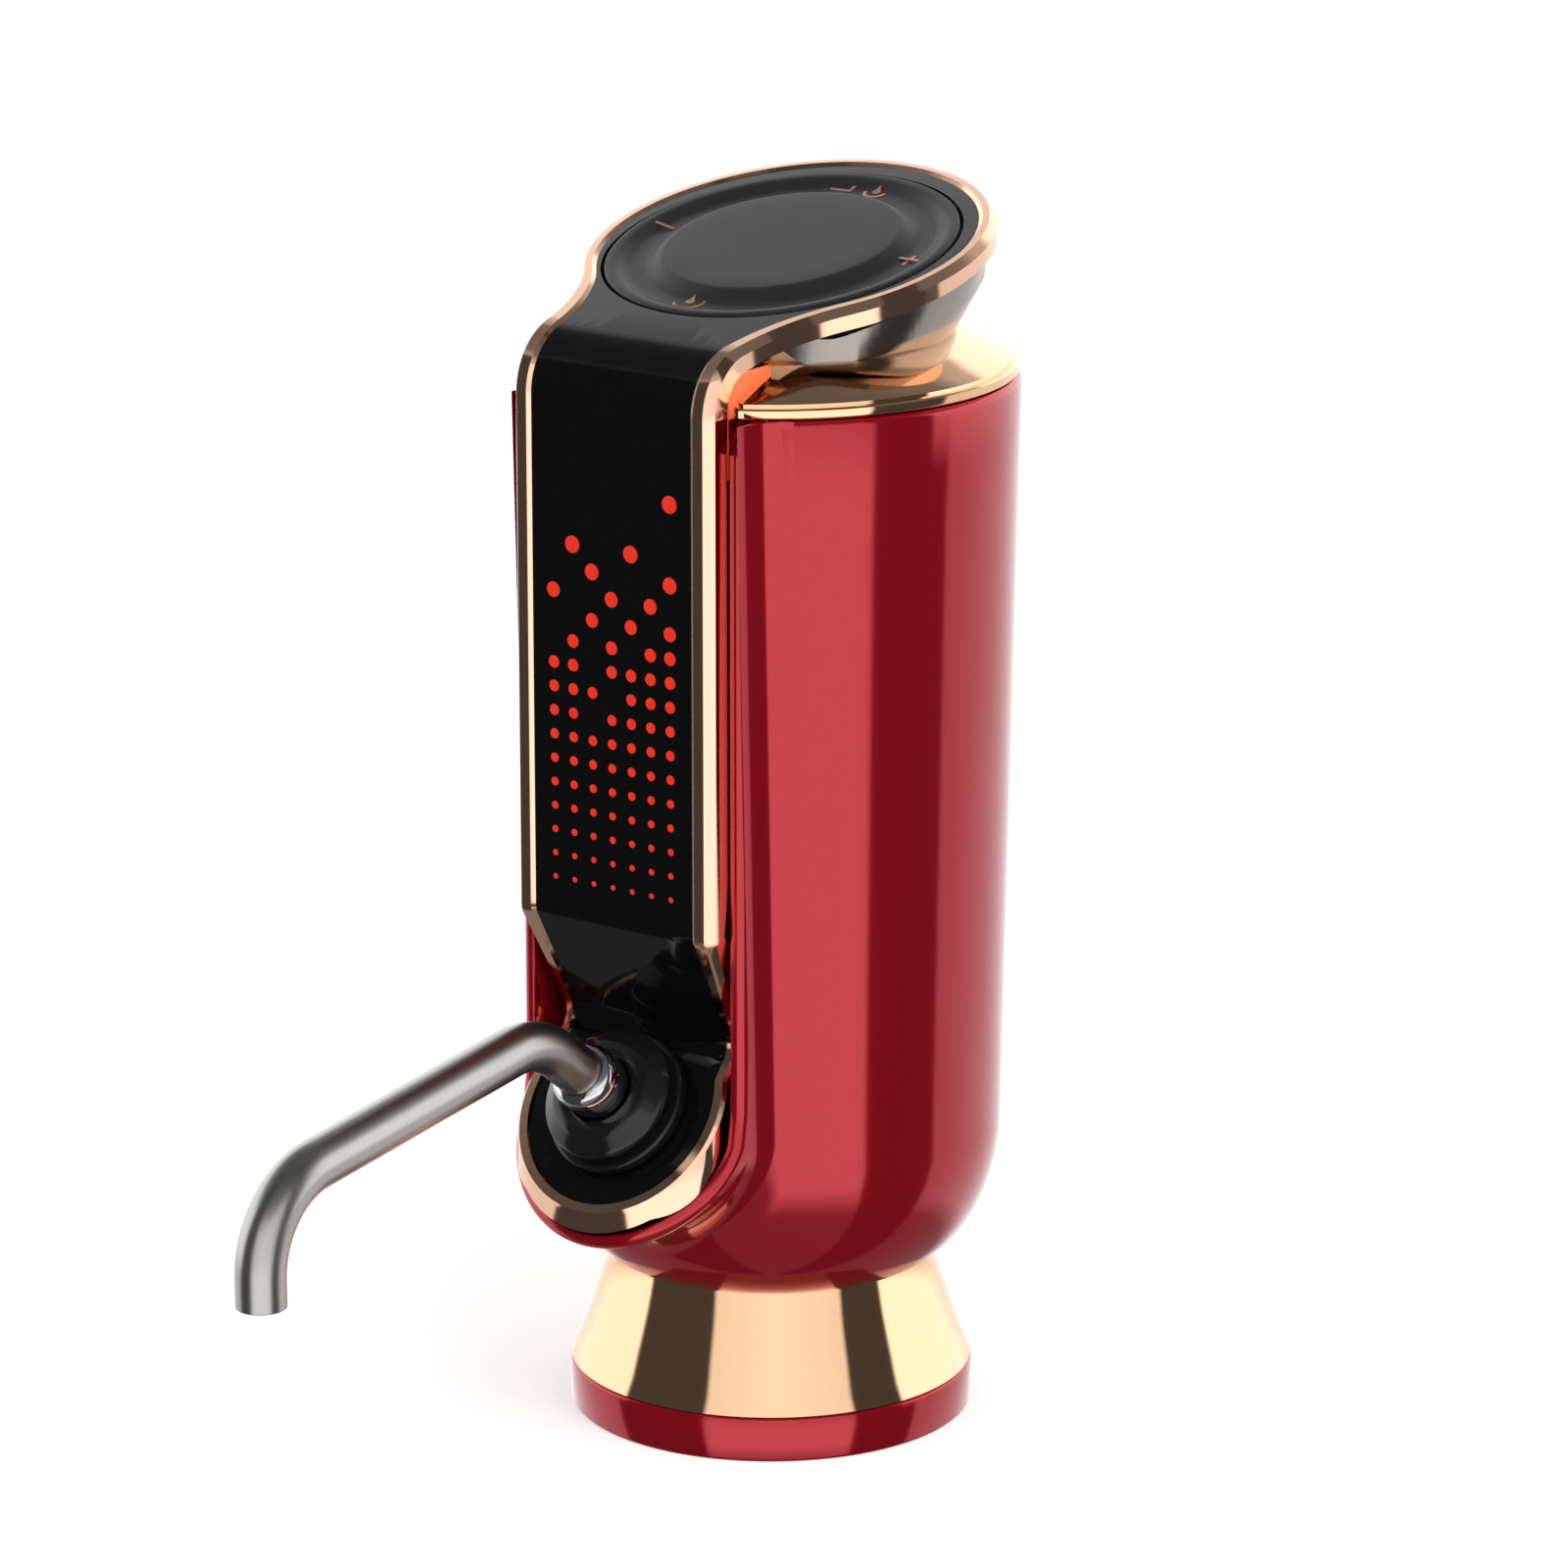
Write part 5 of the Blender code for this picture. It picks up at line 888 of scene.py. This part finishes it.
def side_line():
    """Straight runs and arcs: (start u, start point, heading, turn per mm)."""
    top = meeting(CAP_MIDDLE, CAP_AHEAD, PANEL_FOOT, Vector((0, 1)))
    hook_end = meeting(PANEL_FOOT, HOOK_DOWN, PLATE_MIDDLE, PLATE_DOWN)
    corners = [top, PANEL_FOOT, hook_end]
    headings = [CAP_AHEAD, Vector((0, -1)), HOOK_DOWN, PLATE_DOWN]
    runs = []
    u = 0.0
    spot = CAP_MIDDLE.copy()
    for corner, before, after, radius in zip(
        corners, headings, headings[1:], (TOP_BEND, CREASE_BEND, HOOK_BEND)
    ):
        turn_by = math.atan2(before.x * after.y - before.y * after.x, before.dot(after))
        cut_back = radius * math.tan(abs(turn_by) / 2)
        start = corner - before * cut_back
        runs.append((u, spot.copy(), before.copy(), 0.0))
        u += (start - spot).dot(before)
        runs.append((u, start, before.copy(), math.copysign(1 / radius, turn_by)))
        u += radius * abs(turn_by)
        spot = corner + after * cut_back
    runs.append((u, spot, headings[-1].copy(), 0.0))
    return runs


SIDE_RUNS = side_line()
U_BEND, U_FRONT, U_CREASE, U_HOOK, U_FOLD, U_PLATE = [run[0] for run in SIDE_RUNS[1:]]
U_SPOUT = U_PLATE + (PLATE_MIDDLE - SIDE_RUNS[-1][1]).dot(PLATE_DOWN)
print("ribbon corners at u:", [round(run[0], 2) for run in SIDE_RUNS], "spout:", round(U_SPOUT, 2))


def on_ribbon(x, u, depth):
    """The point of space, in millimetres, at x across and u along, some depth below the face."""
    run = [run for run in SIDE_RUNS if run[0] <= u or run is SIDE_RUNS[0]][-1]
    start_u, start, heading, bend = run
    along = u - start_u
    if bend:
        turn_by = along * bend
        side = Vector((-heading.y, heading.x))
        spot = start + heading * (math.sin(turn_by) / bend) + side * ((1 - math.cos(turn_by)) / bend)
        ahead = heading * math.cos(turn_by) + side * math.sin(turn_by)
    else:
        spot = start + heading * along
        ahead = heading
    out = Vector((ahead.y, -ahead.x))
    spot = spot - out * depth
    return Vector((x, spot.x, spot.y))


# %% [markdown]
# Two outlines are enough for the trim: its outer wall and its inner edge. Each is a circle on
# the cap that flows in two hollow curves into the straight strip, narrows under the display
# and ends in a circle round the spout. They have the same number of points, so a cross-section
# joins each pair.


# %% Outlines of the ribbon
def arc_points(centre, radius, first, last, steps):
    """Points of an arc between two angles in degrees."""
    return [
        Vector((centre[0] + radius * math.cos(a), centre[1] + radius * math.sin(a)))
        for a in (math.radians(first + (last - first) * i / steps) for i in range(steps + 1))
    ]


def ribbon_edge(cap_radius, hollow, half, waist, plate_radius):
    """Right half of an outline in (x, u), from the back of the cap to the end of the plate."""
    ahead = math.sqrt((cap_radius + hollow) ** 2 - (half + hollow) ** 2)
    lean = math.degrees(math.atan2(ahead, half + hollow))
    points = arc_points((0, 0), cap_radius, -90, lean, 56)
    points += arc_points((half + hollow, ahead), hollow, 180 + lean, 180, 20)[1:]
    edges = [(U_FRONT + 0.3, half, 16), (U_CREASE, half, 10), (U_HOOK, half, 6), (U_FOLD, waist, 12)]
    edges += [(U_PLATE, waist, 4)]
    for end, end_half, steps in edges:
        first = points[-1]
        points += [first.lerp(Vector((end_half, end)), i / steps) for i in range(1, steps + 1)]
    neck = math.sqrt(max(0.0, plate_radius**2 - waist**2))
    last = Vector((waist, U_SPOUT - neck))
    points += [points[-1].lerp(last, i / 3) for i in range(1, 4)]
    start = -math.degrees(math.asin(neck / plate_radius))
    points += arc_points((0, U_SPOUT), plate_radius, start, 90, 40)[1:]
    return points


def both_sides(right):
    """The whole closed outline, from the right half."""
    return right + [Vector((-p.x, p.y)) for p in reversed(right[1:-1])]


OUTER = ribbon_edge(25.45, 28.2, 14.67, 13.1, 14.4)
INNER = ribbon_edge(23.2, 30.0, 11.8, 11.5, 12.75)
print("outline points:", len(both_sides(OUTER)), len(both_sides(INNER)))


# %% [markdown]
# The trim is one moulding with a profile like a picture frame: a small inner slope down to the
# black face, a flat, a crisp outer slope and a wall. The outer slope is narrower on the plate.


# %% Trim
def along_share(u, knots):
    """A value that changes with u, from (u, value) knots."""
    for (u0, v0), (u1, v1) in zip(knots, knots[1:]):
        if u <= u1:
            return v0 + (v1 - v0) * max(0.0, min(1.0, (u - u0) / (u1 - u0)))
    return knots[-1][1]


def trim_section(outer, inner):
    """Closed cross-section, as (share from inner to outer edge, depth)."""
    u = (outer.y + inner.y) / 2
    width = (outer - inner).length
    chamfer = along_share(u, [(U_CREASE, 0.92), (U_HOOK, 0.85), (U_FOLD, 0.5), (U_PLATE, 0.4)])
    slope = along_share(u, [(U_CREASE, 0.5), (U_FOLD, 0.3), (U_PLATE, 0.15)])
    deep = along_share(
        u, [(U_BEND - 4, 2.7), (U_FRONT, 3.6), (U_CREASE - 4, 3.6), (U_CREASE, 2.8), (U_PLATE, 2.4)]
    )
    # One slope on cap and plate; on the front it breaks in two, the second one steeper
    steep = along_share(u, [(U_BEND, 1.0), (U_FRONT, 1.35), (U_CREASE, 1.35), (U_PLATE, 1.0)])
    places = [(0, deep), (0, 0.6), (0, 0.32), (slope, 0), (width - chamfer, 0)]
    bent = 0.5 + (steep - 1) * 0.28
    places += [(width - chamfer * bent, chamfer * (1 - bent)), (width, chamfer * steep), (width, deep)]
    return [(across / width, depth) for across, depth in places + places[:1]]


trim_outer, trim_inner = both_sides(OUTER), both_sides(INNER)
trim_sections = [trim_section(o, i) for o, i in zip(trim_outer, trim_inner)]


def straight_down(u):
    """How much of the wall runs straight down, and not square to the face: on cap and plate."""
    return along_share(u, [(U_BEND - 6, 1), (U_BEND + 5, 0), (U_HOOK, 0), (U_PLATE, 1)])


# On the plate the wall grows to twice its depth towards the sides
SIDE_FROM = 9.5
SIDE_OVER = 4
# The corner of the cross-section where the wall starts
WALL_CORNER = 6


def on_trim(column, row):
    """The point of space of one corner of the trim's cross-section."""
    here = row % len(trim_outer)
    across, depth = trim_sections[here][column]
    flat = trim_inner[here].lerp(trim_outer[here], across)
    chamfer = trim_sections[here][WALL_CORNER][1]
    top = on_ribbon(flat.x, flat.y, min(depth, chamfer))
    square = (on_ribbon(flat.x, flat.y, 1) - on_ribbon(flat.x, flat.y, 0)).normalized()
    wall = square.lerp(Vector((0, 0, -1)), straight_down(flat.y)).normalized()
    side = min(1, max(0, (abs(flat.x) - SIDE_FROM) / SIDE_OVER))
    side *= along_share(flat.y, [(U_HOOK, 0), (U_PLATE, 1)])
    return top + wall * max(0, depth - chamfer) * (1 + side)


trim = bent_grid(len(trim_sections[0]) - 1, len(trim_outer), on_trim)
close_up(trim, "rose_gold_trim", rose_gold, 28)
belongs(trim, "housing", "rose_gold", "trim_frame")


# %% [markdown]
# The black faces are sheets of acrylic that lie just inside the trim. The upper one has a round
# hole for the control pad. It is drawn flat as a ring of quads between hole and outline, cut
# across wherever the strip bends, and then bent.


# %% Face helpers
FACE_DEPTH = 0.3
FACE_THICKNESS = 1.2
FACE_RINGS = 4


def thick_sheet(piece, name, behind):
    """Give a black sheet its thickness on the side away from the viewer, and close it up."""
    face_out()
    first = piece.data.polygons[0]
    outward = first.normal.dot(first.center - behind) > 0
    step = piece.modifiers.new("thickness", "SOLIDIFY")
    step.thickness = FACE_THICKNESS * MM
    step.offset = -1 if outward else 1
    bpy.ops.object.modifier_apply(modifier=step.name)
    return close_up(piece, name, piano_black, 40)


def bent_face(name, outline, hole_middle, hole_radius, cuts, depth):
    """A flat sheet between a round hole and an outline, cut at some u, then bent and thickened."""
    count = len(outline)
    start_alone()
    bpy.ops.mesh.primitive_grid_add(x_subdivisions=count, y_subdivisions=FACE_RINGS, size=0.1)
    piece = bpy.context.object
    for index, vertex in enumerate(piece.data.vertices):
        edge = outline[index % (count + 1) % count]
        way_out = (edge - hole_middle).normalized()
        near = hole_middle + way_out * hole_radius
        flat = near.lerp(edge, index // (count + 1) / FACE_RINGS)
        vertex.co = (flat.x * MM, flat.y * MM, 0)
    edit_all()
    bpy.ops.mesh.remove_doubles(threshold=MERGE)
    for u in cuts:
        bpy.ops.mesh.select_all(action="SELECT")
        bpy.ops.mesh.bisect(plane_co=(0, u * MM, 0), plane_no=(0, 1, 0))
    bpy.ops.object.mode_set(mode="OBJECT")
    for vertex in piece.data.vertices:
        vertex.co = on_ribbon(vertex.co.x / MM, vertex.co.y / MM, depth) * MM
    return thick_sheet(piece, name, on_ribbon(0, outline[0].y, depth + 50) * MM)


def inset_edge(right, gap):
    """The outline drawn in by a gap all round."""
    whole = both_sides(right)
    moved = []
    for i, spot in enumerate(whole):
        run = whole[(i + 1) % len(whole)] - whole[i - 1]
        side = Vector((-run.y, run.x)).normalized()
        moved.append(spot + side * gap)
    return moved


def spread(first, last, steps):
    """Even steps from the first value to the last."""
    return [first + (last - first) * i / steps for i in range(steps + 1)]


# %% Faces
PAD_SHIFT = 1.15
PAD_HOLE = 22.0
EDGE_GAP = 0.03
END_GAP = 0.05
low_edge = U_CREASE - END_GAP
upper = [spot for spot in inset_edge(INNER, EDGE_GAP) if spot.y <= low_edge]
side_x = max(p.x for p in upper if p.y > U_FRONT + 5)
right_part = [p for p in upper if p.x >= 0]
left_part = [p for p in upper if p.x < 0]
bottom_row = [Vector((side_x * (1 - 2 * i / 12), low_edge)) for i in range(13)]
display_face = bent_face(
    "black_display_face",
    right_part + bottom_row + left_part,
    Vector((0, PAD_SHIFT)),
    PAD_HOLE,
    spread(U_BEND, U_FRONT, 22) + spread(U_FRONT + 8, U_CREASE - 8, 6),
    FACE_DEPTH,
)
belongs(display_face, "housing", "gloss_black", "display_panel")

RECESS_HALF = 11.77
PLATE_TOP_HALF = 11.47
waist_at = [(U_CREASE, RECESS_HALF), (U_HOOK, RECESS_HALF), (U_FOLD, PLATE_TOP_HALF)]
recess_rows = spread(U_CREASE, U_HOOK, 8) + spread(U_HOOK, U_FOLD, 6)[1:]
recess_rows += spread(U_FOLD, U_PLATE - END_GAP, 8)[1:]
RECESS_COLUMNS = 10


def on_recess(column, row):
    """The point of space of one corner of the recess's grid."""
    u = recess_rows[row]
    return on_ribbon(along_share(u, waist_at) * (column / (RECESS_COLUMNS / 2) - 1), u, FACE_DEPTH)


recess_sheet = bent_grid(RECESS_COLUMNS, len(recess_rows) - 1, on_recess)
recess_face = thick_sheet(recess_sheet, "black_recess_face", on_ribbon(0, U_CREASE, 50) * MM)
belongs(recess_face, "housing", "gloss_black", "recess_panel")

plate_outline = [p for p in inset_edge(INNER, EDGE_GAP) if p.y >= U_PLATE]
plate_right = [p for p in plate_outline if p.x >= 0]
plate_left = [p for p in plate_outline if p.x < 0]
top_row = [Vector((x, U_PLATE + 0.02)) for x in spread(-PLATE_TOP_HALF, PLATE_TOP_HALF, 8)]
BOSS_HOLE = 5.7
PLATE_DEPTH = 0.4
plate_face = bent_face(
    "black_spout_plate",
    plate_right + plate_left + top_row,
    Vector((0, U_SPOUT)),
    BOSS_HOLE,
    [],
    PLATE_DEPTH,
)
belongs(plate_face, "housing", "gloss_black", "spout_plate")

# %% [markdown]
# Under the cap sits the neck: a mirror-bright cone that opens towards the cap. The cap leans
# back, so the cone is cut off at a slant by the cap's underside, and its sides are trimmed to
# the cap's own outline. A bisect would make the slant, but the order of its new points changes
# from run to run, so the points of the cone's top ring are slid down its sides to the slant, and
# the ring is then filled. A block over the cap's outline trims the sides.

# %% Neck
CAP_FRAME = Matrix.Translation((0, CAP_Y * MM, CAP_Z * MM)) @ Matrix.Rotation(CAP_LEAN, 4, "X")
COVER_DEPTH = 2.8
NECK_SLOPE = 0.531
NECK_FOOT = 135.9
NECK_TOP = 163
NECK_RADIUS = 22.2
NECK_WALL = 1.8
NECK_BORE = 20.4


def cone_points(inset):
    """(radius, height) points up the neck's side."""
    return [(NECK_RADIUS - inset + NECK_SLOPE * (z - NECK_FOOT), z) for z in (NECK_FOOT, NECK_TOP)]


neck = turned("mirror_neck", [(0, NECK_FOOT)] + cone_points(0), dark_chrome, 0.0, 160)
slant_spot = CAP_FRAME @ Vector((0, 0, -COVER_DEPTH * MM))
slant_up = CAP_FRAME.to_3x3() @ Vector((0, 0, 1))
for vertex in neck.data.vertices:
    if vertex.co.z > (NECK_FOOT + 1) * MM:
        share = NECK_RADIUS * MM / math.hypot(vertex.co.x, vertex.co.y)
        low = Vector((vertex.co.x * share, vertex.co.y * share, NECK_FOOT * MM))
        vertex.co = intersect_line_plane(low, vertex.co, slant_spot, slant_up)
cap_open_ends(neck)
face_out()
PLAN_LOW = 120
PLAN_HIGH = 170
PLAN_FRONT = -27.5
cap_outline = both_sides(ribbon_edge(24.1, 29.3, 12.7, 12, 14))
plan = [(p.x, CAP_Y - p.y * math.cos(CAP_LEAN), PLAN_LOW) for p in cap_outline]
plan = [p for p in plan if p[1] > PLAN_FRONT]
carve(neck, drawn_out(plan, (0, 0, PLAN_HIGH - PLAN_LOW)), "INTERSECT")
hollow_profile = [(0, 130.0), (NECK_BORE, 130.0)] + cone_points(NECK_WALL) + [(0, NECK_TOP)]
carve(neck, turned("neck_hollow", hollow_profile, dark_chrome, 0.0, 96))
carve(neck, box_cutter((-WALL_INSIDE, NOTCH_FRONT, 120), (WALL_INSIDE, NOTCH_BACK, 160)))
spigot_profile = [(21.2, 136.4), (21.2, 128.4), (19.6, 128.4), (19.6, 136.4), (21.2, 136.4)]
spigot = turned("neck_spigot", spigot_profile, dark_chrome)
carve(spigot, box_cutter((-WALL_INSIDE, NOTCH_FRONT, 120), (WALL_INSIDE, -18, 160)))
carve(neck, spigot, "UNION")
soften(neck, 30)
belongs(neck, "housing", "mirror", "neck_cone")

# %% [markdown]
# The control pad is a shallow dish that rocks under a fingertip: a raised round table in the
# middle, a moat round it and a low rim. Its corners are all soft, so the profile is eased with
# a cosine instead of being bevelled afterwards.


# %% Control pad
def eased(first, last, steps):
    """Points of a soft S between two (radius, height) corners."""
    return [
        (
            first[0] + (last[0] - first[0]) * i / steps,
            first[1] + (last[1] - first[1]) * (1 - math.cos(math.pi * i / steps)) / 2,
        )
        for i in range(1, steps + 1)
    ]


PAD_FRAME = CAP_FRAME @ Matrix.Translation((0, -PAD_SHIFT * MM, 0))
PAD_PIVOT = -9.7
pad_line = [(0, 0.3), (6, 0.3), (11, 0.3), (14.2, 0.29)]
pad_line += eased((14.2, 0.29), (17.0, -0.9), 12) + [(18.4, -0.9)]
pad_line += eased((18.4, -0.9), (20.6, -0.05), 10)
pad_line += [(21.0, 0.0), (21.35, -0.06), (21.55, -0.25), (21.6, -0.5), (21.6, -1.8), (2.4, -1.8)]
pad_line += [(2.4, PAD_PIVOT - 1.2), (0, PAD_PIVOT - 1.2)]
pad = turned("soft_touch_pad", pad_line, soft_black, 0.0, 144, 30)
stand_in(pad, PAD_FRAME)
pad_pin = turned("pad_pin", [(0, -5.5), (0.8, -5.5), (0.8, 5.5), (0, 5.5)], soft_black, 0.1, 32)
ACROSS = Matrix.Rotation(math.pi / 2, 4, "X")
stand_in(pad_pin, PAD_FRAME @ Matrix.Translation((0, 0, PAD_PIVOT * MM)) @ ACROSS)
carve(pad, pad_pin, "UNION")
soften(pad, 30)
belongs(pad, "pad", "matte_black", "control_pad")

# %% [markdown]
# Four signs are stamped on the dish in rose gold foil: a minus, a plus, and a drop over a hoop
# at the front and at the back. They are thin raised plates, drawn flat from their outlines and
# set on the dish, and they rock with it.

# %% Pad signs
FOIL_SUNK = 0.04
FOIL_THICKNESS = 0.1


def foil(outline, middle):
    """A thin plate over an outline in millimetres, on the pad's dish."""
    spots = [Vector(point) + Vector(middle) for point in outline]
    points = [(s.x, s.y, along_share(s.length, pad_line) - FOIL_SUNK) for s in spots]
    return drawn_out(points, (0, 0, FOIL_THICKNESS))


def bar(long, wide, middle=(0, 0)):
    """A rectangle."""
    corners = ((-1, -1), (1, -1), (1, 1), (-1, 1))
    return [(middle[0] + x * long / 2, middle[1] + y * wide / 2) for x, y in corners]


def drop(size, middle=(0, 0)):
    """A drop: round below and drawn to a point above."""
    points = []
    for i in range(16):
        angle = math.radians(-240 + 300 * i / 15)
        points.append((middle[0] + size * math.cos(angle), middle[1] + size * math.sin(angle)))
    return points + [(middle[0], middle[1] + size * 2.1)]


def hoop(radius, wide, first, last, middle=(0, 0)):
    """Part of a ring, between two angles."""
    angles = [math.radians(first + (last - first) * i / 12) for i in range(13)]
    outer, inner = radius + wide / 2, radius - wide / 2
    points = [(outer * math.cos(a), outer * math.sin(a)) for a in angles]
    points += [(inner * math.cos(a), inner * math.sin(a)) for a in reversed(angles)]
    return [(middle[0] + x, middle[1] + y) for x, y in points]


SIGNS = [
    (bar(2.8, 0.45), (-18.4, 1.0)),
    (bar(2.8, 0.45), (17.6, 1.5)),
    (bar(0.45, 2.8), (17.6, 1.5)),
    (hoop(1.9, 0.4, 200, 380), (-1.3, -17.2)),
    (drop(0.6), (-1.3, -17.1)),
    (bar(3.0, 0.4, (-2.6, -0.6)), (-1.2, 18.2)),
    (bar(0.4, 1.3, (-1.3, 0.0)), (-1.2, 18.2)),
    (hoop(1.4, 0.4, 180, 360, (2.2, 0.0)), (-1.2, 18.2)),
    (drop(0.55, (2.2, 0.2)), (-1.2, 18.2)),
]


def joined(pieces):
    """Several pieces made one."""
    start_alone()
    for piece in pieces:
        piece.select_set(True)
    bpy.context.view_layer.objects.active = pieces[0]
    bpy.ops.object.join()
    return bpy.context.object


signs = joined([foil(outline, middle) for outline, middle in SIGNS])
close_up(signs, "foil_signs", sign_foil, 30)
stand_in(signs, PAD_FRAME)
belongs(signs, "pad", "rose_gold")

# %% [markdown]
# The boss: a flange on the plate, then a nut with a wide rim and a tapered nose that holds the
# spout's collar. All are glossy black mouldings but the chrome collar.

# %% Boss and collar
BOSS_FRAME = Matrix.Translation((0, PLATE_Y * MM, PLATE_Z * MM)) @ Matrix.Rotation(PLATE_LEAN, 4, "X")
flange = turned(
    "boss_flange_ring",
    [(5.6, 0.0), (9.1, 0.0), (9.1, 1.3), (8.8, 1.5), (7.0, 1.5), (5.6, 1.5), (5.6, 0.0)],
    gloss_black,
    0.15,
)
stand_in(flange, BOSS_FRAME)
belongs(flange, "housing", "matte_black", "boss_flange")

NUT = [(5.6, 1.7), (7.4, 1.7), (7.6, 2.2), (8.1, 2.5), (8.4, 2.9), (8.4, 3.4), (8.2, 3.7), (7.9, 3.9)]
NUT += [(6.7, 4.8), (6.4, 5.0), (6.0, 5.15), (5.5, 5.25), (4.7, 5.25), (4.3, 5.1), (4.3, 4.4), (5.6, 4.2)]
NUT += [(5.6, 1.7)]
nut = turned("boss_nut_ring", NUT, gloss_black, 0.0, 144, 40)
stand_in(nut, BOSS_FRAME)
belongs(nut, "housing", "gloss_black", "boss_nut")

COLLAR = [(3.05, 5.3), (4.1, 5.3), (4.1, 9.1), (4.0, 9.45), (3.8, 9.75), (3.5, 9.95), (3.2, 10.05)]
COLLAR += [(3.05, 10.1), (3.05, 5.3)]
collar = turned("chrome_collar", COLLAR, bright_chrome, 0.08, 96, 30)
stand_in(collar, BOSS_FRAME)
belongs(collar, "spout", "mirror", "spout_collar")

# %% [markdown]
# The spout is a bent steel tube. Its centre line rises from the boss, bends forward, runs down
# at a slight slope and bends again to point down. A round section is swept along that line, out
# on the outside, over the lip and back up the inside, so the mouth is really open.


# %% Spout
BEND_STEPS = 14


def bent_line(corners, radii):
    """Points along a line whose corners are rounded to given radii."""
    points = [corners[0]]
    for before, corner, after, radius in zip(corners, corners[1:], corners[2:], radii):
        back = (before - corner).normalized()
        on = (after - corner).normalized()
        half = back.angle(on) / 2
        reach = radius / math.tan(half)
        middle = corner + (back + on).normalized() * (radius / math.sin(half))
        first, last = corner + back * reach - middle, corner + on * reach - middle
        for i in range(BEND_STEPS + 1):
            points.append(middle + first.slerp(last, i / BEND_STEPS).normalized() * radius)
    return points + [corners[-1]]


SPOUT_OUT = Vector((0, PLATE_OUT.x, PLATE_OUT.y))
SPOUT_FOOT = Vector((0, PLATE_Y, PLATE_Z))
SPOUT_SUNK = 6.8
SPOUT_RISE = 20.4
SPOUT_REACH = 50.65
SPOUT_DROP = 13.1
SPOUT_FALL = math.radians(6.7)
SPOUT_BENDS = (12.5, 11.0)
TUBE_RADIUS = 3.0
TUBE_WALL = 0.6
first_corner = SPOUT_FOOT + SPOUT_OUT * SPOUT_RISE
last_corner = first_corner + Vector((0, -math.cos(SPOUT_FALL), -math.sin(SPOUT_FALL))) * SPOUT_REACH
tip = last_corner + Vector((0, 0, -SPOUT_DROP))
corners = [SPOUT_FOOT - SPOUT_OUT * SPOUT_SUNK, first_corner, last_corner, tip]
spout_line = bent_line(corners, SPOUT_BENDS)
print("spout tip at", [round(v, 2) for v in tip])

LIP = 0.1
TUBE_SIDES = 40


def swept(line, radius, wall):
    """An open tube along a line in the middle plane, with a small lip at its far end."""
    rings = []
    for index, spot in enumerate(line):
        ahead = (line[min(index + 1, len(line) - 1)] - line[max(index - 1, 0)]).normalized()
        rings.append((spot, ahead))
    last, onward = rings[-1]
    rows = [(spot, ahead, radius) for spot, ahead in rings]
    rows.append((last + onward * LIP, onward, radius - LIP))
    rows.append((last + onward * LIP, onward, radius - wall + LIP))
    rows += [(spot, ahead, radius - wall) for spot, ahead in reversed(rings)]
    rows.append(rows[0])
    across = Vector((1, 0, 0))

    def place(column, row):
        spot, ahead, size = rows[row]
        angle = 2 * math.pi * column / TUBE_SIDES
        return spot + across * (size * math.cos(angle)) + ahead.cross(across) * (size * math.sin(angle))

    return bent_grid(TUBE_SIDES, len(rows) - 1, place)


spout = close_up(swept(spout_line, TUBE_RADIUS, TUBE_WALL), "satin_spout", satin_steel, 40)
belongs(spout, "spout", "satin_steel", "spout_tube")

# %% [markdown]
# The display is a field of small red lamps behind the black face: a solid block of rows at the
# bottom that breaks up into single dots towards the top, like rising bubbles. Each dot is a
# thin lens that stands a few hundredths of a millimetre proud of the face, so that it shows.
# One is modelled, and the rest are copies with a mesh of their own, joined into one.

# %% Display lamps
LAMP_PITCH_X = 2.888
LAMP_PITCH_Z = 2.9465
LAMP_LOW = 73.06
LAMP_MIDDLE = 3
LAMP_SUNK = 0.02
# The rows that are lit in each column, counted from the bottom
LAMP_ROWS = {
    0: list(range(10)) + [12],
    1: list(range(11)) + [14],
    2: list(range(7)) + [8, 11, 13],
    3: list(range(8)) + [9, 10, 12],
    4: list(range(10)) + [11, 14],
    5: list(range(11)) + [12],
    6: list(range(12)) + [13, 16.3],
}


def lamp_radius(row):
    """The dots grow from row to row."""
    return along_share(row, [(0, 0.34), (5, 0.58), (9, 0.77), (12, 0.95), (14, 1.06), (17, 1.08)])


start_alone()
bpy.ops.mesh.primitive_circle_add(vertices=20, radius=1 * MM, fill_type="NGON")
first_lamp = bpy.context.object
edit_all()
bpy.ops.mesh.extrude_region_move(TRANSFORM_OT_translate={"value": (0, 0, 0.05 * MM)})
bpy.ops.mesh.inset(thickness=0.15 * MM, depth=0.02 * MM)
face_out()
lamps = []
for column, rows in LAMP_ROWS.items():
    for row in rows:
        lamp = first_lamp.copy()
        lamp.data = first_lamp.data.copy()
        bpy.context.scene.collection.objects.link(lamp)
        size = lamp_radius(row)
        across, up = (column - LAMP_MIDDLE) * LAMP_PITCH_X, LAMP_LOW + row * LAMP_PITCH_Z
        spot = Vector((across, PANEL_FRONT + FACE_DEPTH + LAMP_SUNK, up))
        lamp.matrix_world = Matrix.Translation(spot * MM) @ ACROSS @ Matrix.Diagonal((size, size, 1, 1))
        lamps.append(lamp)
bpy.data.objects.remove(first_lamp)
display_lamps = joined(lamps)
close_up(display_lamps, "display_lamps", lamp_red, 30)
belongs(display_lamps, "housing", "gloss_black")
print("lamps:", len(lamps))
